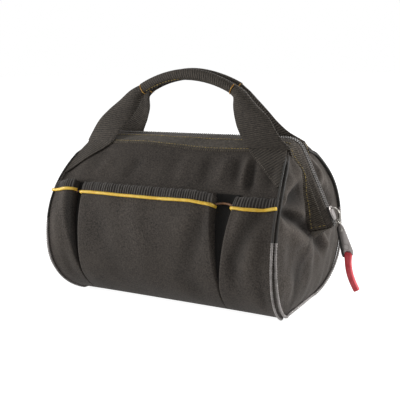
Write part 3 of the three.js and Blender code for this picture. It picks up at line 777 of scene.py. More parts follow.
def woven(name, dark, light, pitch, twill, ribbed, relief, roughness, sheen, dusty, dust_share=0.35):
    """Cloth with threads both ways. twill slants the ribs, and ribbed says how much they show."""
    material, tree = bare_material(name)
    place = add(tree, "ShaderNodeTexCoord")
    uv = add(tree, "ShaderNodeSeparateXYZ", {"Vector": (place, "UV")})
    weft = wave_of(tree, calc(tree, "MULTIPLY_ADD", (uv, "X"), twill, (uv, "Y")), pitch)
    warp = wave_of(tree, (uv, "X"), pitch * 2.2 if twill else pitch)
    ribs = calc(tree, "MULTIPLY", weft, warp)
    if twill:
        ribs = calc(tree, "MULTIPLY_ADD", ribs, 0.35, weft)
    thread = calc(tree, "MULTIPLY_ADD", ribs, ribbed, noise(tree, pitch * 1.1, 2.0, 0.6))
    level = remap(tree, thread, 0.5 - ribbed - 0.12, 0.5 + ribbed + 0.12)
    cloth = between(tree, level, colour(dark), colour(light))
    worn = remap(tree, noise(tree, 46, 3.0), 0.42, 0.72)
    faded = between(tree, calc(tree, "MULTIPLY", worn, dust_share), cloth, colour(dusty))
    # Painted highlight on the ridges of the folds and painted shade in their hollows, where the mesh marks
    # them
    tone = remap(tree, mark(tree, "fold"), -1.0, 1.0, 0.25, 1.75)
    painted_fold_light = add(tree, "ShaderNodeVectorMath", {0: faded, "Scale": tone}, operation="SCALE")
    values = {"Roughness": roughness, "Sheen Weight": sheen, "Sheen Roughness": 0.45}
    values["Specular IOR Level"] = 0.3
    return finish_material(material, (painted_fold_light, "Vector"), thread, relief, 0.6, values)


def gathered(name, dark, light):
    """Elastic tape with painted shade in the valleys between its gathers and painted light on their tops,
    from the gather heights that the mesh marks.
    """
    material, tree = bare_material(name)
    knit = noise(tree, 2.2, 3.0, 0.6)
    level = remap(tree, calc(tree, "MULTIPLY_ADD", knit, 0.5, mark(tree, "gather")), 0.2, 1.25)
    tape = between(tree, level, colour(dark), colour(light))
    values = {"Roughness": 0.85, "Sheen Weight": 0.08, "Specular IOR Level": 0.3}
    return finish_material(material, tape, knit, 0.3, 0.5, values)


def moulded(name, dark, light, roughness, spots, coat=0.0, relief=0.05):
    """Vinyl, rubber or plastic with a fine uneven skin."""
    material, tree = bare_material(name)
    uneven = noise(tree, spots, 3.0, 0.6)
    skin = between(tree, remap(tree, uneven, 0.35, 0.65), colour(dark), colour(light))
    rough = remap(tree, uneven, 0.0, 1.0, roughness - 0.06, roughness + 0.08)
    values = {"Roughness": rough, "Coat Weight": coat}
    return finish_material(material, skin, noise(tree, 1.1), relief, 0.5, values)


def plated(name, dark, light, roughness):
    """Cast zinc or drawn steel with a metal plating, worn a little unevenly."""
    material, tree = bare_material(name)
    worn = noise(tree, 5, 4.0, 0.6)
    metal = between(tree, worn, colour(dark), colour(light))
    rough = remap(tree, worn, 0.0, 1.0, roughness - 0.08, roughness + 0.12)
    return finish_material(material, metal, worn, 0.03, 0.4, {"Roughness": rough, "Metallic": 1.0})


ROW_TREE = row_tree()

# Woven polyester, 600 denier: a plain weave of 0.5 mm threads, drawn at 1.6 mm so that it shows
polyester = woven("woven_polyester", "1d1a17", "524b45", 1.6, 0, 0.1, 0.35, 0.86, 0.04, "4c4640")
# The same cloth folded deep in the pleats, painted near black as shade
shaded_pleat_cloth = woven("painted_shade_pleat_polyester", "090807", "141210", 1.6, 0, 0.1, 0.2, 0.95, 0.0, "12100e", 0.1)
# Nylon webbing: twill ribs of 1.3 mm, drawn at 3.2 mm
webbing = woven("ribbed_webbing", "1b1815", "554e46", 3.2, 0.25, 0.3, 1.0, 0.8, 0.03, "3e3934")
# The band round the mouth: coarse rough webbing
band_webbing = woven("coarse_band_webbing", "171411", "5f574c", 3.0, 0.9, 0.25, 1.0, 0.85, 0.03, "443e37")
# Gathered binding: grey knitted elastic tape
binding_tape = gathered("gathered_binding_tape", "1f1d1b", "625d59")
# Zipper tape: black woven polyester with a herringbone of 1.2 mm ribs, drawn at 2 mm
zip_tape = woven("black_zipper_tape", "2a2622", "665e56", 2.6, 1.0, 0.25, 0.6, 0.85, 0.05, "2a2725", 0.2)
# PVC piping, extruded smooth over a cord: soft gloss
yellow_vinyl = moulded("yellow_vinyl_piping", "efbc30", "fbd458", 0.42, 7, 0.1)
# The same yellow vinyl with painted shade, dark brown, where the piping dips across a pleat
shaded_vinyl = moulded("shaded_vinyl_piping", "4a2c16", "7d5226", 0.5, 7, 0.05)
black_vinyl = moulded("charcoal_vinyl_piping", "1a1816", "2e2b27", 0.75, 9, 0.03, 0.12)
grey_vinyl = moulded("grey_vinyl_piping", "7d7875", "a6a09d", 0.48, 6, 0.05, 0.12)
# Bonded polyester thread
gold_thread = moulded("gold_polyester_thread", "7d6a30", "b59c56", 0.6, 3)
yellow_thread = moulded("yellow_bar_tack_thread", "a8742a", "dcb154", 0.6, 3)
brown_thread = moulded("brown_polyester_thread", "4e4740", "6f665c", 0.7, 3)
# Nylon coil: monofilament, a dull shine
nylon_coil = moulded("black_nylon_coil", "292623", "504a45", 0.5, 3)
# Zinc die castings, nickel plated and gunmetal plated
nickel = plated("nickel_plated_zinc", "6a6763", "aeaaa4", 0.34)
gunmetal = plated("gunmetal_plated_zinc", "77716f", "a5a09e", 0.38)
steel_wire = plated("drawn_steel_wire", "5c5a57", "8a8783", 0.45)
# Moulded silicone rubber for the tail
red_rubber = moulded("moulded_red_rubber", "d5303b", "e4525c", 0.45, 8)
# Painted shade: the black of the sheet behind the tab, for the tab's edge in shade with the dark bag
# reflected in it
painted_shade_tab_edge = moulded("painted_shade_tab_edge_material", "151413", "22201f", 0.5, 8)
# Extruded polypropylene sheet
base_sheet = moulded("polypropylene_base_sheet", "1c1c1c", "2a2a2a", 0.55, 20, 0.0, 0.1)

# Rows of small parts: spacing, size (length, width, height), finish, unevenness and seed
BAND_STITCHES = (4.0, (3.0, 0.8, 0.7), gold_thread, 0.22, 7)
GRIP_STITCHES = (4.2, (3.2, 0.8, 0.8), gold_thread, 0.15, 3)
STRAP_END_STITCHES = (4.0, (3.2, 0.75, 0.7), brown_thread, 0.15, 9)
BAR_TACKS = (0.9, (1.1, 1.5, 0.8), yellow_thread, 0.15, 5)
COIL_TEETH = (2.9, (2.3, 4.2, 4.5), nylon_coil, 0.04, 1)
NECK_KNOBS = (2.1, (1.7, 3.3, 3.3), nickel, 0.05, 1)


# Two points for each side: the cloth above the pockets would stay with the bag up to the first and go with
# its half of the mouth from the second. attach works them out, but nothing is bent with them.
def bend(side):
    return (0, side * 0.090, 0.158), (0, side * 0.0305, 0.1714)


def attach(piece, body, slot, *nodes):
    """Lets a piece move with its body. A piece given as bend_ of a half is only baked in place, and nothing
    bends it.
    """
    if body.startswith("bend_"):
        half = body.removeprefix("bend_")
        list(bend(dict(HALVES)[half]))
        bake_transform(piece)
    else:
        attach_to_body(piece, body)
    if nodes:
        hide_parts(*nodes)


# Base

BASE_LIFT, BASE_CLOTH = 0.25, 2.0
length = np.linspace(-1, 1, 90) * (BASE_HALF_LENGTH + 1)
depth = np.linspace(-1, 1, 34) * (BASE_HALF_DEPTH + 0.4)
X, Y = np.meshgrid(length, depth)
under = xyz(X, Y, BASE_LIFT)
base = make_sheet("base_cloth", under, under + (0, 0, BASE_CLOTH), polyester)
attach(base, "bag_body", "fabric", "base_panel")

# Walls and upper panels. The weave is drawn on the cloth laid flat. A fold of the pale height gets the full
# painted highlight on its ridge and painted shade in its hollow.

FLAT_HALF_LENGTH = 150
UPPER_CLOTH = 1.6
UPPER_SAG = 2.2
SAG_REACH = 150
UPPER_PALE_FOLD = 8
UPPER_FOLDS = {
    -1: [
        (-4.2, 5.5, (112, 188), (116, 172), (121, 161)),
        (2.8, 5.5, (103, 192), (107, 174), (110, 163)),
        (-2.8, 6.0, (91, 195), (96, 180), (99, 168)),
        (2.0, 7.0, (74, 194), (78, 166)),
        (-2.0, 8.0, (52, 192), (58, 166)),
        (1.6, 8.0, (20, 190), (24, 168)),
        (-2.0, 9.0, (-44, 188), (-54, 164)),
        (1.8, 9.0, (-88, 186), (-102, 164)),
        (-2.0, 7.0, (138, 182), (146, 164)),
    ],
    1: [
        (-2.6, 6.0, (-108, 188), (-116, 164)),
        (2.2, 7.0, (-94, 190), (-98, 166)),
        (-2.2, 7.0, (96, 190), (106, 164)),
        (1.8, 9.0, (30, 190), (44, 164)),
    ],
}


def upper_folds(side, s, v):
    x, _, z = np.moveaxis(bare_wall(side, s, v), -1, 0)
    return creases(x, z, UPPER_FOLDS[side])


def upper_lift(side, s, v):
    x, _, z = np.moveaxis(bare_wall(side, s, v), -1, 0)
    loose = rise(1 - np.abs(s), 0.0, 0.09) * rise(v, LAP_V, LAP_V + 0.12) * (1 - rise(v, 1.9, 2.0))
    sag = -UPPER_SAG * np.cos(np.clip(x / SAG_REACH, -1, 1) * np.pi / 2)
    return (upper_folds(side, s, v) + ripple(x, z, 0.7, 21 + side, 35, 90) + sag) * loose


def wall_sheet(name, side, S, V, lift, thick, flat_from, **more):
    """A sheet of cloth on a wall, by how far its outer face stands off the wall."""
    outer, inner = wall_at(side, S, V, lift), wall_at(side, S, V, lift - thick)
    flat = np.stack([S * FLAT_HALF_LENGTH, flat_from + cloth_size(outer)[..., 1]], -1)
    return make_sheet(name, outer, inner, polyester, flat, **more)


for half, side in HALVES:
    S, V = grid((-1, 1, 111), (0, LAP_V + 0.03, 60))
    lift = -0.5 * rise(V, LAP_V - 0.06, LAP_V - 0.02)
    wall = wall_sheet(f"{half}_wall_cloth", side, S, V, lift, WALL, 0)
    attach(wall, "bag_body", "fabric", f"{half}_wall")

    S, V = grid((-1, 1, 141), (LAP_V, 2.0, 60))
    lift, folds = upper_lift(side, S, V), {"fold": upper_folds(side, S, V) / UPPER_PALE_FOLD}
    upper = wall_sheet(f"{half}_upper_cloth", side, S, V, lift, UPPER_CLOTH, 200, marks=folds)
    attach(upper, f"bend_{half}", "fabric", f"{half}_upper_panel")

# Ends: a lower panel that stays, and two flanks above it, one for each half of the mouth. The flanks cover a
# lap of the panel along a line from each seam to the chin.

PANEL_CLOTH, FLANK_CLOTH, TAB_CLOTH = 1.8, 1.5, 1.3
# The height of a fold that gets the full painted highlight on its ridge and painted shade in its hollow, at
# the right end and at the shaded left end
PALE_FOLD = {1: 9, -1: 18}


def lap_line(u):
    return mix(FLANK_FOOT_V, FOLD_V - 0.004, u**1.3)


def end_sheet(name, sign, outer, thick):
    y, z = outer[..., 1], outer[..., 2]
    folds = {"fold": creases(y, z, END_FOLDS[sign]) / PALE_FOLD[sign]}
    inner = outer - (sign * thick, 0, 0)
    return make_sheet(name, outer, inner, polyester, np.stack([y, z], -1), marks=folds)


for end, sign in ENDS:
    grids = []
    for side in (-1, 1):
        U, R = grid((0, 1, 42), (0, 1, 64))
        U = U[:, ::-side]
        V = mix(0.06, lap_line(U) + 0.07, R)
        sink = -3.2 * rise(V, lap_line(U) - 0.01, lap_line(U) + 0.07)
        grids.append(end_at(side, sign, U, V, sink))
    outer = np.concatenate([grids[0], grids[1][:, 1:]], axis=1)
    panel = end_sheet(f"{end}_end_cloth", sign, outer, PANEL_CLOTH)
    attach(panel, "bag_body", "fabric", f"{end}_end_panel")
    for half, side in HALVES:
        U, R = grid((0, 0.995, 46), (0, 1, 80))
        V = mix(lap_line(U) - 0.05, 2.0, R)
        sink = -2.6 * (1 - rise(V, lap_line(U) - 0.05, lap_line(U) + 0.01)) - SEAT_GAP * rise(V, 1.1, 1.2)
        flank = end_sheet(f"{end}_{half}_flank_cloth", sign, end_at(side, sign, U, V, sink), FLANK_CLOTH)
        attach(flank, f"bend_{half}", "fabric", f"{end}_{half}_flank")
    # A fold of cloth under the end of the zipper, from foot to foot of the band
    A, B = grid((-1, 1, 25), (0, 1, 9))
    near_middle = 1 - np.abs(A)
    low = xyz(167.8 + 1.6 * np.abs(A), 14.5 * A, 88.5 + 13.0 * np.abs(A) ** 1.1)
    high = xyz(169.4 + 21.5 * near_middle**0.8, 14.5 * A, 101.5 + 4.2 * near_middle)
    outer = mix(low, high, B[..., None])
    outer[..., 0] += -1.6 * np.sin(np.pi * B) * near_middle
    outer[..., 0] *= sign
    inner = outer - (sign * TAB_CLOTH, 0, -0.8)
    tab = make_sheet(f"{end}_zip_end_fold", outer, inner, band_webbing)
    attach(tab, "bag_body", "webbing", f"{end}_zip_end_tab")

# Pockets with gathered bindings, yellow piping and pleats painted near black as shade. The elastic pulls each
# binding into gathers.

# A fold of POCKET_PALE_FOLD's height gets the full painted highlight or painted shade, and TURNED_SHADE is
# painted shade where the left pocket turns back
POCKET_PALE_FOLD = 9
TURNED_SHADE = 0.75
HEM_DEPTH = 1.5
GATHER_PITCH = 3.6
GATHER_HEIGHT = 1.3
PIPING_V = height_to_v(PIPING_HEIGHT)
PLEAT_PIPING = 2.4
# The piping of the back pockets stops short of their edges, by this share
BACK_PIPING_MARGIN = 0.02


def pocket_shares(name):
    """Places across a pocket, closer together near its edges."""
    if name == "centre":
        edge = np.linspace(0, 0.03, 9)
        return np.concatenate([edge, np.linspace(0.03, 0.97, 120)[1:-1], 1 - edge[::-1]])
    return 0.5 - 0.5 * np.cos(np.pi * np.linspace(0, 1, {"left": 40, "right": 46}[name]))


def pocket_cloth(half, side, name):
    hem_top = POCKET_FOOT_V + 0.1
    hem_rows = np.linspace(POCKET_FOOT_V - 0.035, hem_top, 10)[:-1]
    v = np.concatenate([hem_rows, np.linspace(hem_top, POCKET_TOP_V, 56)])
    C, V = np.meshgrid(pocket_shares(name), v)
    hem = -HEM_DEPTH * (1 - rise(V, POCKET_FOOT_V - 0.03, POCKET_FOOT_V + 0.03))
    outer = pocket_at(side, name, C, V, POCKET_CLOTH + hem)
    inner = pocket_at(side, name, C, V, hem)
    x, z = outer[..., 0], outer[..., 2]
    flat = np.stack([x, cloth_size(outer)[..., 1]], -1)
    # Painted highlight on fold ridges, painted shade in fold hollows, and painted shade where the left pocket
    # turns back to its pleat
    shaded = rise(turned_back(name, x, z, x[:, -1:]), 0.05, 0.5)
    folds = {"fold": creases(x, z, POCKET_FOLDS[name]) / POCKET_PALE_FOLD - TURNED_SHADE * shaded}
    piece = make_sheet(f"{half}_pocket_{name}_cloth", outer, inner, polyester, flat, marks=folds)
    attach(piece, "bag_body", "fabric", f"{half}_pocket_{name}")
    return float(np.ptp(outer[-1, :, 0]))


def pocket_binding(half, side, name, wide):
    low_v, high_v = height_to_v(POCKET_TOP - BINDING_HEIGHT), height_to_v(POCKET_TOP + 0.8)
    margin = 2.2 / wide
    c = np.linspace(margin, 1 - margin, max(60, int(wide / 0.55)))
    random = np.random.default_rng(31 + len(name) + side)
    phase = np.cumsum(random.uniform(0.6, 1.4, len(c)))
    phase *= wide / GATHER_PITCH / phase[-1]
    depth = np.interp(np.linspace(0, 39, len(c)), np.arange(40), random.uniform(0.5, 1.0, 40))
    gather = (0.5 + 0.5 * np.sin(2 * np.pi * phase)) * depth
    height = GATHER_HEIGHT * gather + 0.3
    up = np.linspace(0, 1, 9)
    C, V = np.meshgrid(c, mix(low_v, high_v, up))
    up = up[:, None]
    full = np.sin(np.pi * np.clip(up, 0.02, 1) ** 0.8) ** 0.5
    outer = pocket_at(side, name, C, V, POCKET_CLOTH + 0.35 + 0.5 + height * full)
    outer[..., 2] += 0.5 * np.sin(2 * np.pi * phase / 3.1) * up - sagging(name, c) * (1 - up) ** 2
    inner = pocket_at(side, name, C, V, POCKET_CLOTH + 0.1)
    inner[..., 2] = outer[..., 2]
    # The gather heights also set the tape's painted shade and painted light
    marks = {"gather": gather + 0 * C}
    piece_name = f"{half}_pocket_{name}_gathered_binding"
    piece = make_sheet(piece_name, outer, inner, binding_tape, None, GATHER_ANGLE, marks)
    attach(piece, "bag_body", "binding", f"{half}_pocket_binding_{name}")


def pocket_piping(half, side, name, wide):
    margin = 0.0 if side < 0 else BACK_PIPING_MARGIN
    c = np.linspace(margin, 1 - margin, max(24, int(wide / 2.5)))
    path = pocket_at(side, name, c, PIPING_V, POCKET_CLOTH + 0.2 + PIPING_RADIUS)
    path[:, 2] -= sagging(name, c)
    radius = PIPING_RADIUS * (1 + 0.03 * ripple(c * wide, 0 * c, 1.0, 8, 9, 30))
    section = round_sections(radius)
    piece = make_sweep(f"{half}_pocket_{name}_piping", path, section, (0, 0, 1), yellow_vinyl)
    attach(piece, "bag_body", "yellow_piping", f"{half}_pocket_piping_{name}")


def pleat_at(pleat, t, v):
    return mix(pleat_edge(pleat, v, -1), pleat_edge(pleat, v, 1), t)


for half, side in HALVES:
    for name in POCKETS:
        wide = pocket_cloth(half, side, name)
        pocket_binding(half, side, name, wide)
        pocket_piping(half, side, name, wide)

    for label, pleat in (("left", LEFT_PLEAT), ("right", RIGHT_PLEAT)):
        T, V = grid((-0.1, 1.1, 15), (POCKET_FOOT_V - 0.02, height_to_v(POCKET_TOP + 2.4), 50))
        s = pleat_at(pleat, T, V)
        fold = 0.9 * np.cos(np.pi * (T - 0.5) * 2) ** 2
        outer, inner = wall_at(side, s, V, 0.85 + 0.5 * fold), wall_at(side, s, V, 0.15)
        attach(make_sheet(f"{half}_{label}_shaded_pleat_cloth", outer, inner, shaded_pleat_cloth), "bag_body", "fabric")
        t = np.linspace(0, 1, 14)
        v = np.full_like(t, PIPING_V)
        path = wall_at(side, pleat_at(pleat, t, v), v, 5.5 - 2.5 * np.sin(np.pi * t))
        path[:, 2] += 2.2 * np.sin(np.pi * t)
        section = ring(PLEAT_PIPING, PLEAT_PIPING, 1.0, 10)
        bridge = make_sweep(f"{half}_{label}_pleat_piping", path, section, (0, 0, 1), shaded_vinyl)
        attach(bridge, "bag_body", "yellow_piping")

# Seam piping: two cords side by side along each end seam, black above and grey below. Each cord
# has its radius, and the pitch and height of its ribs.

FLOOR_GAP = {"outer": 2.2, "inner": 1.9}
GREY_RIBS = {"outer": (1.35, 3.0, 0.45), "inner": (1.15, 3.0, 0.4)}
BLACK_RIBS = {"outer": (1.5, 5.0, 0.08), "inner": (1.2, 5.0, 0.08)}
CORD_FOOT_V, CORD_TOP_V = 0.1, 1.96


def trim_path(side, sign, v, cord):
    """The middle of a cord. Near the top it sinks in under the end of the strap."""
    tuck = rise(v, 1.84, CORD_TOP_V)
    # The two cords draw together where the black ones begin
    close = rise(v, 0.75, GREY_TOP_V)
    edge = seam_reach(np.maximum(v, CORD_FOOT_V))
    if cord == "outer":
        lift, past = -WALL / 2 - 2.4 * tuck, 2.9 - 1.1 * close - 2.1 * tuck
    else:
        lift, past = 2.7 - 3.6 * tuck, -2.3 + 1.1 * close - 1.2 * tuck
    path = wall_at(side, sign, v, lift)
    path[..., 0] = sign * (edge + past)
    path[..., 2] = np.maximum(path[..., 2], FLOOR_GAP[cord])
    return path


def dense(path, step):
    along = places_along(path)
    places = np.linspace(0, along[-1], max(3, int(along[-1] / step) + 1))
    return np.stack([np.interp(places, along, path[:, n]) for n in range(3)], -1)


def ribbed_cord(name, sign, path, ribs, step, material):
    radius, pitch, height = ribs
    path = dense(path, step)
    swell = radius + height * (0.5 + 0.5 * np.sin(2 * np.pi * places_along(path) / pitch))
    section = round_sections(swell)
    return make_sweep(name, path, section, (sign, 0, 0.01), material)


GREY_STEP, BLACK_STEP = 0.55, 1.2

for end, sign in ENDS:
    foot = trim_path(1, sign, np.array([0.0]), "outer")[0]
    under = xyz(foot[0], np.linspace(-0.85, 0.85, 9) * foot[1], foot[2])
    down = trim_path(-1, sign, np.linspace(GREY_TOP_V, 0, 60), "outer")
    up = trim_path(1, sign, np.linspace(0, GREY_TOP_V, 60), "outer")
    path = np.concatenate([down, under, up])
    cord = ribbed_cord(f"{end}_grey_seam_piping", sign, path, GREY_RIBS["outer"], GREY_STEP, grey_vinyl)
    attach(cord, "bag_body", "grey_trim", f"{end}_grey_trim")
    for half, side in HALVES:
        path = trim_path(side, sign, np.linspace(CORD_FOOT_V, GREY_TOP_V, 60), "inner")
        name = f"{end}_{half}_grey_seam_flange"
        cord = ribbed_cord(name, sign, path, GREY_RIBS["inner"], GREY_STEP, grey_vinyl)
        attach(cord, "bag_body", "grey_trim")
        for label, ribs in BLACK_RIBS.items():
            path = trim_path(side, sign, np.linspace(GREY_TOP_V - 0.004, CORD_TOP_V, 60), label)
            cord = ribbed_cord(f"{end}_{half}_black_seam_{label}", sign, path, ribs, BLACK_STEP, black_vinyl)
            replaced = [f"{end}_{half}_black_trim"] if label == "outer" else []
            attach(cord, f"bend_{half}", "black_trim", *replaced)

# Mouth: stitched band with the frame's wire in a sleeve under it, zipper tape and coil

BAND_PLACES = np.linspace(0.6, ZIP_LENGTH - 0.6, 330)
SLEEVE_MARGIN = 14
SLEEVE_BULGE = 3.9
TAPE_EDGE = 4.4
TAPE_THICK = 0.85
COIL_HALF_HEIGHT = 0.9
# The front coil reaches past the middle, so that the closed zipper has no slit
COIL_FROM = {"front": -0.42, "back": 0.5}
TOOTH_LINE = 2.4
THREAD_LIFT = 2.15


def roof_sheet(name, side, q, high, low, material, flat=True):
    """A strip along the mouth, over distances q from the zipper's middle, between two heights."""
    P, Q = spread(BAND_PLACES[:, None], q)
    top, bottom = roof_at(side, P, Q, high), roof_at(side, P, Q, low)
    return make_sheet(name, top, bottom, material, np.stack([Q, P], -1) if flat else None)


def thread_line(side, places, q):
    places, q = spread(places, q)
    return roof_at(side, places, q, THREAD_LIFT), roof_normal(side, places, q)


for half, side in HALVES:
    share = np.concatenate([[0, 0.02, 0.06], np.linspace(0.12, 0.88, 10), [0.94, 0.98, 1.0]])[None]
    P = BAND_PLACES[:, None] + 0 * share
    width = roof_width(side, BAND_PLACES)[:, None]
    Q = mix(BAND_INNER, width + 1.0, share + 0 * P)
    edge = np.sqrt(np.clip(1 - (1 - np.minimum(np.minimum(share, 1 - share) / 0.06, 1)) ** 2, 0, 1))
    rough = ripple(P, Q, 0.16, 41 + side, 5, 14, 12)
    high = mix(0.9, BAND_LIFT[1] + rough, edge)
    low = BAND_LIFT[0] - 0.5 * rise(share, 0.9, 1)
    band = roof_sheet(f"{half}_stitched_band", side, Q, high, low, band_webbing)
    attach(band, f"{half}_mouth", "webbing", f"{half}_frame_channel")

    sewn = (BAND_PLACES > SLEEVE_MARGIN) & (BAND_PLACES < ZIP_LENGTH - SLEEVE_MARGIN)
    Q = mix(BAND_INNER, width[sewn] - 0.6, np.linspace(0, 1, 26)[None])
    P = BAND_PLACES[sewn][:, None] + 0 * Q
    wire_q = np.maximum(mix(TAPE_OUTER, width[sewn], 0.45), TAPE_OUTER + 1.95)
    bulge = SLEEVE_BULGE * (1 - rise(np.abs(Q - wire_q), 2.0, 4.4))
    outer, inner = roof_at(side, P, Q, -0.95 - bulge), roof_at(side, P, Q, -1.75 - bulge)
    attach(make_sheet(f"{half}_wire_sleeve", outer, inner, polyester), f"{half}_mouth", "fabric")

    q = np.array([TAPE_EDGE, 5.0, 5.6, SHELF_HALF_WIDTH, 8, 10, 12, 14, TAPE_OUTER])
    ridge = 0.35 * np.exp(-(((q - 5.2) / 0.7) ** 2))
    tape = roof_sheet(f"{half}_zipper_tape", side, q, ridge, -TAPE_THICK, zip_tape)
    attach(tape, f"{half}_mouth", "zip_tape", f"{half}_zip_tape")

    q = np.array([COIL_FROM[half], 1.2, 3.2, 4.3])
    core = roof_sheet(f"{half}_coil_core", side, q, COIL_HALF_HEIGHT, -COIL_HALF_HEIGHT, nylon_coil, False)
    attach(core, f"{half}_mouth", "zip_coil", f"{half}_zip_coil")
    places = BAND_PLACES[2:-2] + (0.0 if side < 0 else COIL_TEETH[0] / 2)
    line = roof_at(side, places, TOOTH_LINE, 0), roof_normal(side, places, TOOTH_LINE)
    attach(make_row(f"{half}_coil_teeth", [line], *COIL_TEETH), f"{half}_mouth", "zip_coil")

    # Two rows of stitches on the ridge, and one down each end beside the cloth
    rows = []
    for row, trimmed in (("inner", BEND_MIDDLE + 4), ("outer", 5)):
        places = np.linspace(trimmed, ZIP_LENGTH - trimmed, 260)
        from_end = np.minimum(places, ZIP_LENGTH - places)
        over = overlap(FOOT_V + (2 - FOOT_V) * np.clip(from_end / BEND_MIDDLE, 0, 1))
        q = BAND_INNER + 2.0 if row == "inner" else roof_width(side, places) - 2.6 - 1.1 * over
        rows.append(thread_line(side, places, q + 0.4 * np.sin(places / 9.0)))
    for place in (4.0, ZIP_LENGTH - 4.0):
        q = np.linspace(BAND_INNER + 2.0, float(roof_width(side, np.array(place))) - 2.6, 12)
        rows.append(thread_line(side, place, q))
    attach(make_row(f"{half}_band_stitches", rows, *BAND_STITCHES), f"{half}_mouth", "webbing")

# Handles: webbing that is rolled at the grip and opens out flat towards its feet

SLANT = math.atan2(STRAP_FOOT[0] - GRIP["half_length"], GRIP["end"] - STRAP_FOOT[1])
FOOT_HALF = WEBBING / math.cos(SLANT) / 2
GRIP_PATH = (
    (-GRIP["half_length"], 0, GRIP["end"]),
    (0, 0, 2 * GRIP["top"] - GRIP["end"]),
    (GRIP["half_length"], 0, GRIP["end"]),
)
# Along a strap, from the grip to its foot: its thickness, how flat its faces are, and how far its
# edges curl towards the bag
STRAP_THICK = ((0, 0.12, 0.3, 0.5, 1), (8.6, 6.6, 3.6, 2.4, 2.2))
STRAP_POWER = ((0, 0.3), (0.95, 0.3))
STRAP_CURL = ((0, 0.12, 0.3, 0.6, 1), (0.5, 4.6, 4.8, 1.4, 0.0))


def smooth_line(stations, points):
    """A smooth curve through points, by their stations."""
    stations, points = np.asarray(stations, float), np.asarray(points, float)
    slopes = np.gradient(points, stations, axis=0)

    def at(share):
        n = int(np.clip(np.searchsorted(stations, share) - 1, 0, len(stations) - 2))
        step = stations[n + 1] - stations[n]
        u = (share - stations[n]) / step
        return (
            (2 * u**3 - 3 * u**2 + 1) * points[n] + (u**3 - 2 * u**2 + u) * step * slopes[n]
            + (3 * u**2 - 2 * u**3) * points[n + 1] + (u**3 - u**2) * step * slopes[n + 1]
        )

    return at


def foot_depth(x):
    eave = bare_wall(1, np.clip(np.abs(x) / TOP_HALF_LENGTH, 0, 1), 2.0)
    return eave[..., 1] + 1.9 + SEAT_GAP


# The inner and the outer edge of each strap, x and z from the grip down to its foot
STRAP_STATIONS = (0.0, 0.15, 0.3, 0.5, 0.7, 0.85, 1.0)
STRAP_EDGES = {
    ("front", "left"): (
        [(63.2, 263.6), (67.5, 256.5), (73.8, 244), (83, 230), (92, 218.5), (97.5, 209.5), (99.7, 202.7)],
        [(69.8, 275.8), (85, 269), (101, 256), (117, 242.5), (131, 228), (140.5, 214), (147.5, 202.7)],
    ),
    ("front", "right"): (
        [(63.2, 263.6), (67.2, 259), (68.7, 250), (74.8, 234.5), (83.2, 220.5), (91, 210), (99.0, 202.7)],
        [(69.8, 275.8), (82.5, 268.5), (98.5, 253), (118.5, 237.5), (130, 222.5), (140, 211), (150.3, 202.7)],
    ),
    ("back", "left"): (
        [(63.2, 263.6), (69.4, 257), (72, 245), (81, 230), (91, 217), (97, 209.5), (100.5, 202.7)],
        [(69.8, 275.8), (84, 268.5), (99, 256), (114, 241), (127, 226), (138, 213), (149, 202.7)],
    ),
    ("back", "right"): (
        [(63.2, 263.6), (68, 258), (72, 249), (78, 234.5), (86, 220.5), (92.5, 210), (99.7, 202.7)],
        [(69.8, 275.8), (79, 268), (88, 257), (99, 242), (110.5, 226.5), (124, 214.5), (146, 203.4)],
    ),
}


def strap_rings(half, side, end, sign):
    rings, angle = [], turns(28)
    inner_edge, outer_edge = (smooth_line(STRAP_STATIONS, edge) for edge in STRAP_EDGES[half, end])
    for b in np.linspace(0, 1, 44):
        near, far = inner_edge(b), outer_edge(b)
        middle, half_width = (near + far) / 2, (far - near) / 2
        thick, power, curl = (np.interp(b, *table) for table in (STRAP_THICK, STRAP_POWER, STRAP_CURL))
        out, face = squared_off(np.cos(angle), power), squared_off(np.sin(angle), power)
        x, z = middle[:, None] + out * half_width[:, None]
        y = mix(GRIP["spread"], foot_depth(x), b) - curl * out**2 + face * thick / 2
        rings.append(np.stack([sign * x, side * y, z], -1))
    return np.array(rings)


def grip_tacks(path):
    """Bar tacks over both faces of the grip, at each of its ends."""
    tangent = unit(np.gradient(path, axis=0))
    across = np.linspace(-6.4, 6.4, 9)
    bulge = np.sqrt(np.clip(1 - (across / 7.2) ** 2, 0, 1)) * (GRIP["thick"] / 2 + 0.75)
    for k in (0, -1):
        up = unit(np.array([-tangent[k, 2], 0, tangent[k, 0]]))
        for face in (-1, 1):
            line = path[k] + across[:, None] * up + xyz(0, face * bulge, 0)
            yield line, np.broadcast_to((0.0, face, 0.0), line.shape)


# The end of each strap is sewn flat on the panel, down to the end seam
STRAP_END_V = height_to_v(STRAP_END_FOOT)
STRAP_END_TOP_V = 1.998
WEBBING_THICK = 2.0


def strap_end_edge(r):
    """The s of the inner edge of a strap's end, from its foot to the strap."""
    return mix(0.965, (STRAP_FOOT[0] - FOOT_HALF) / TOP_HALF_LENGTH, r)


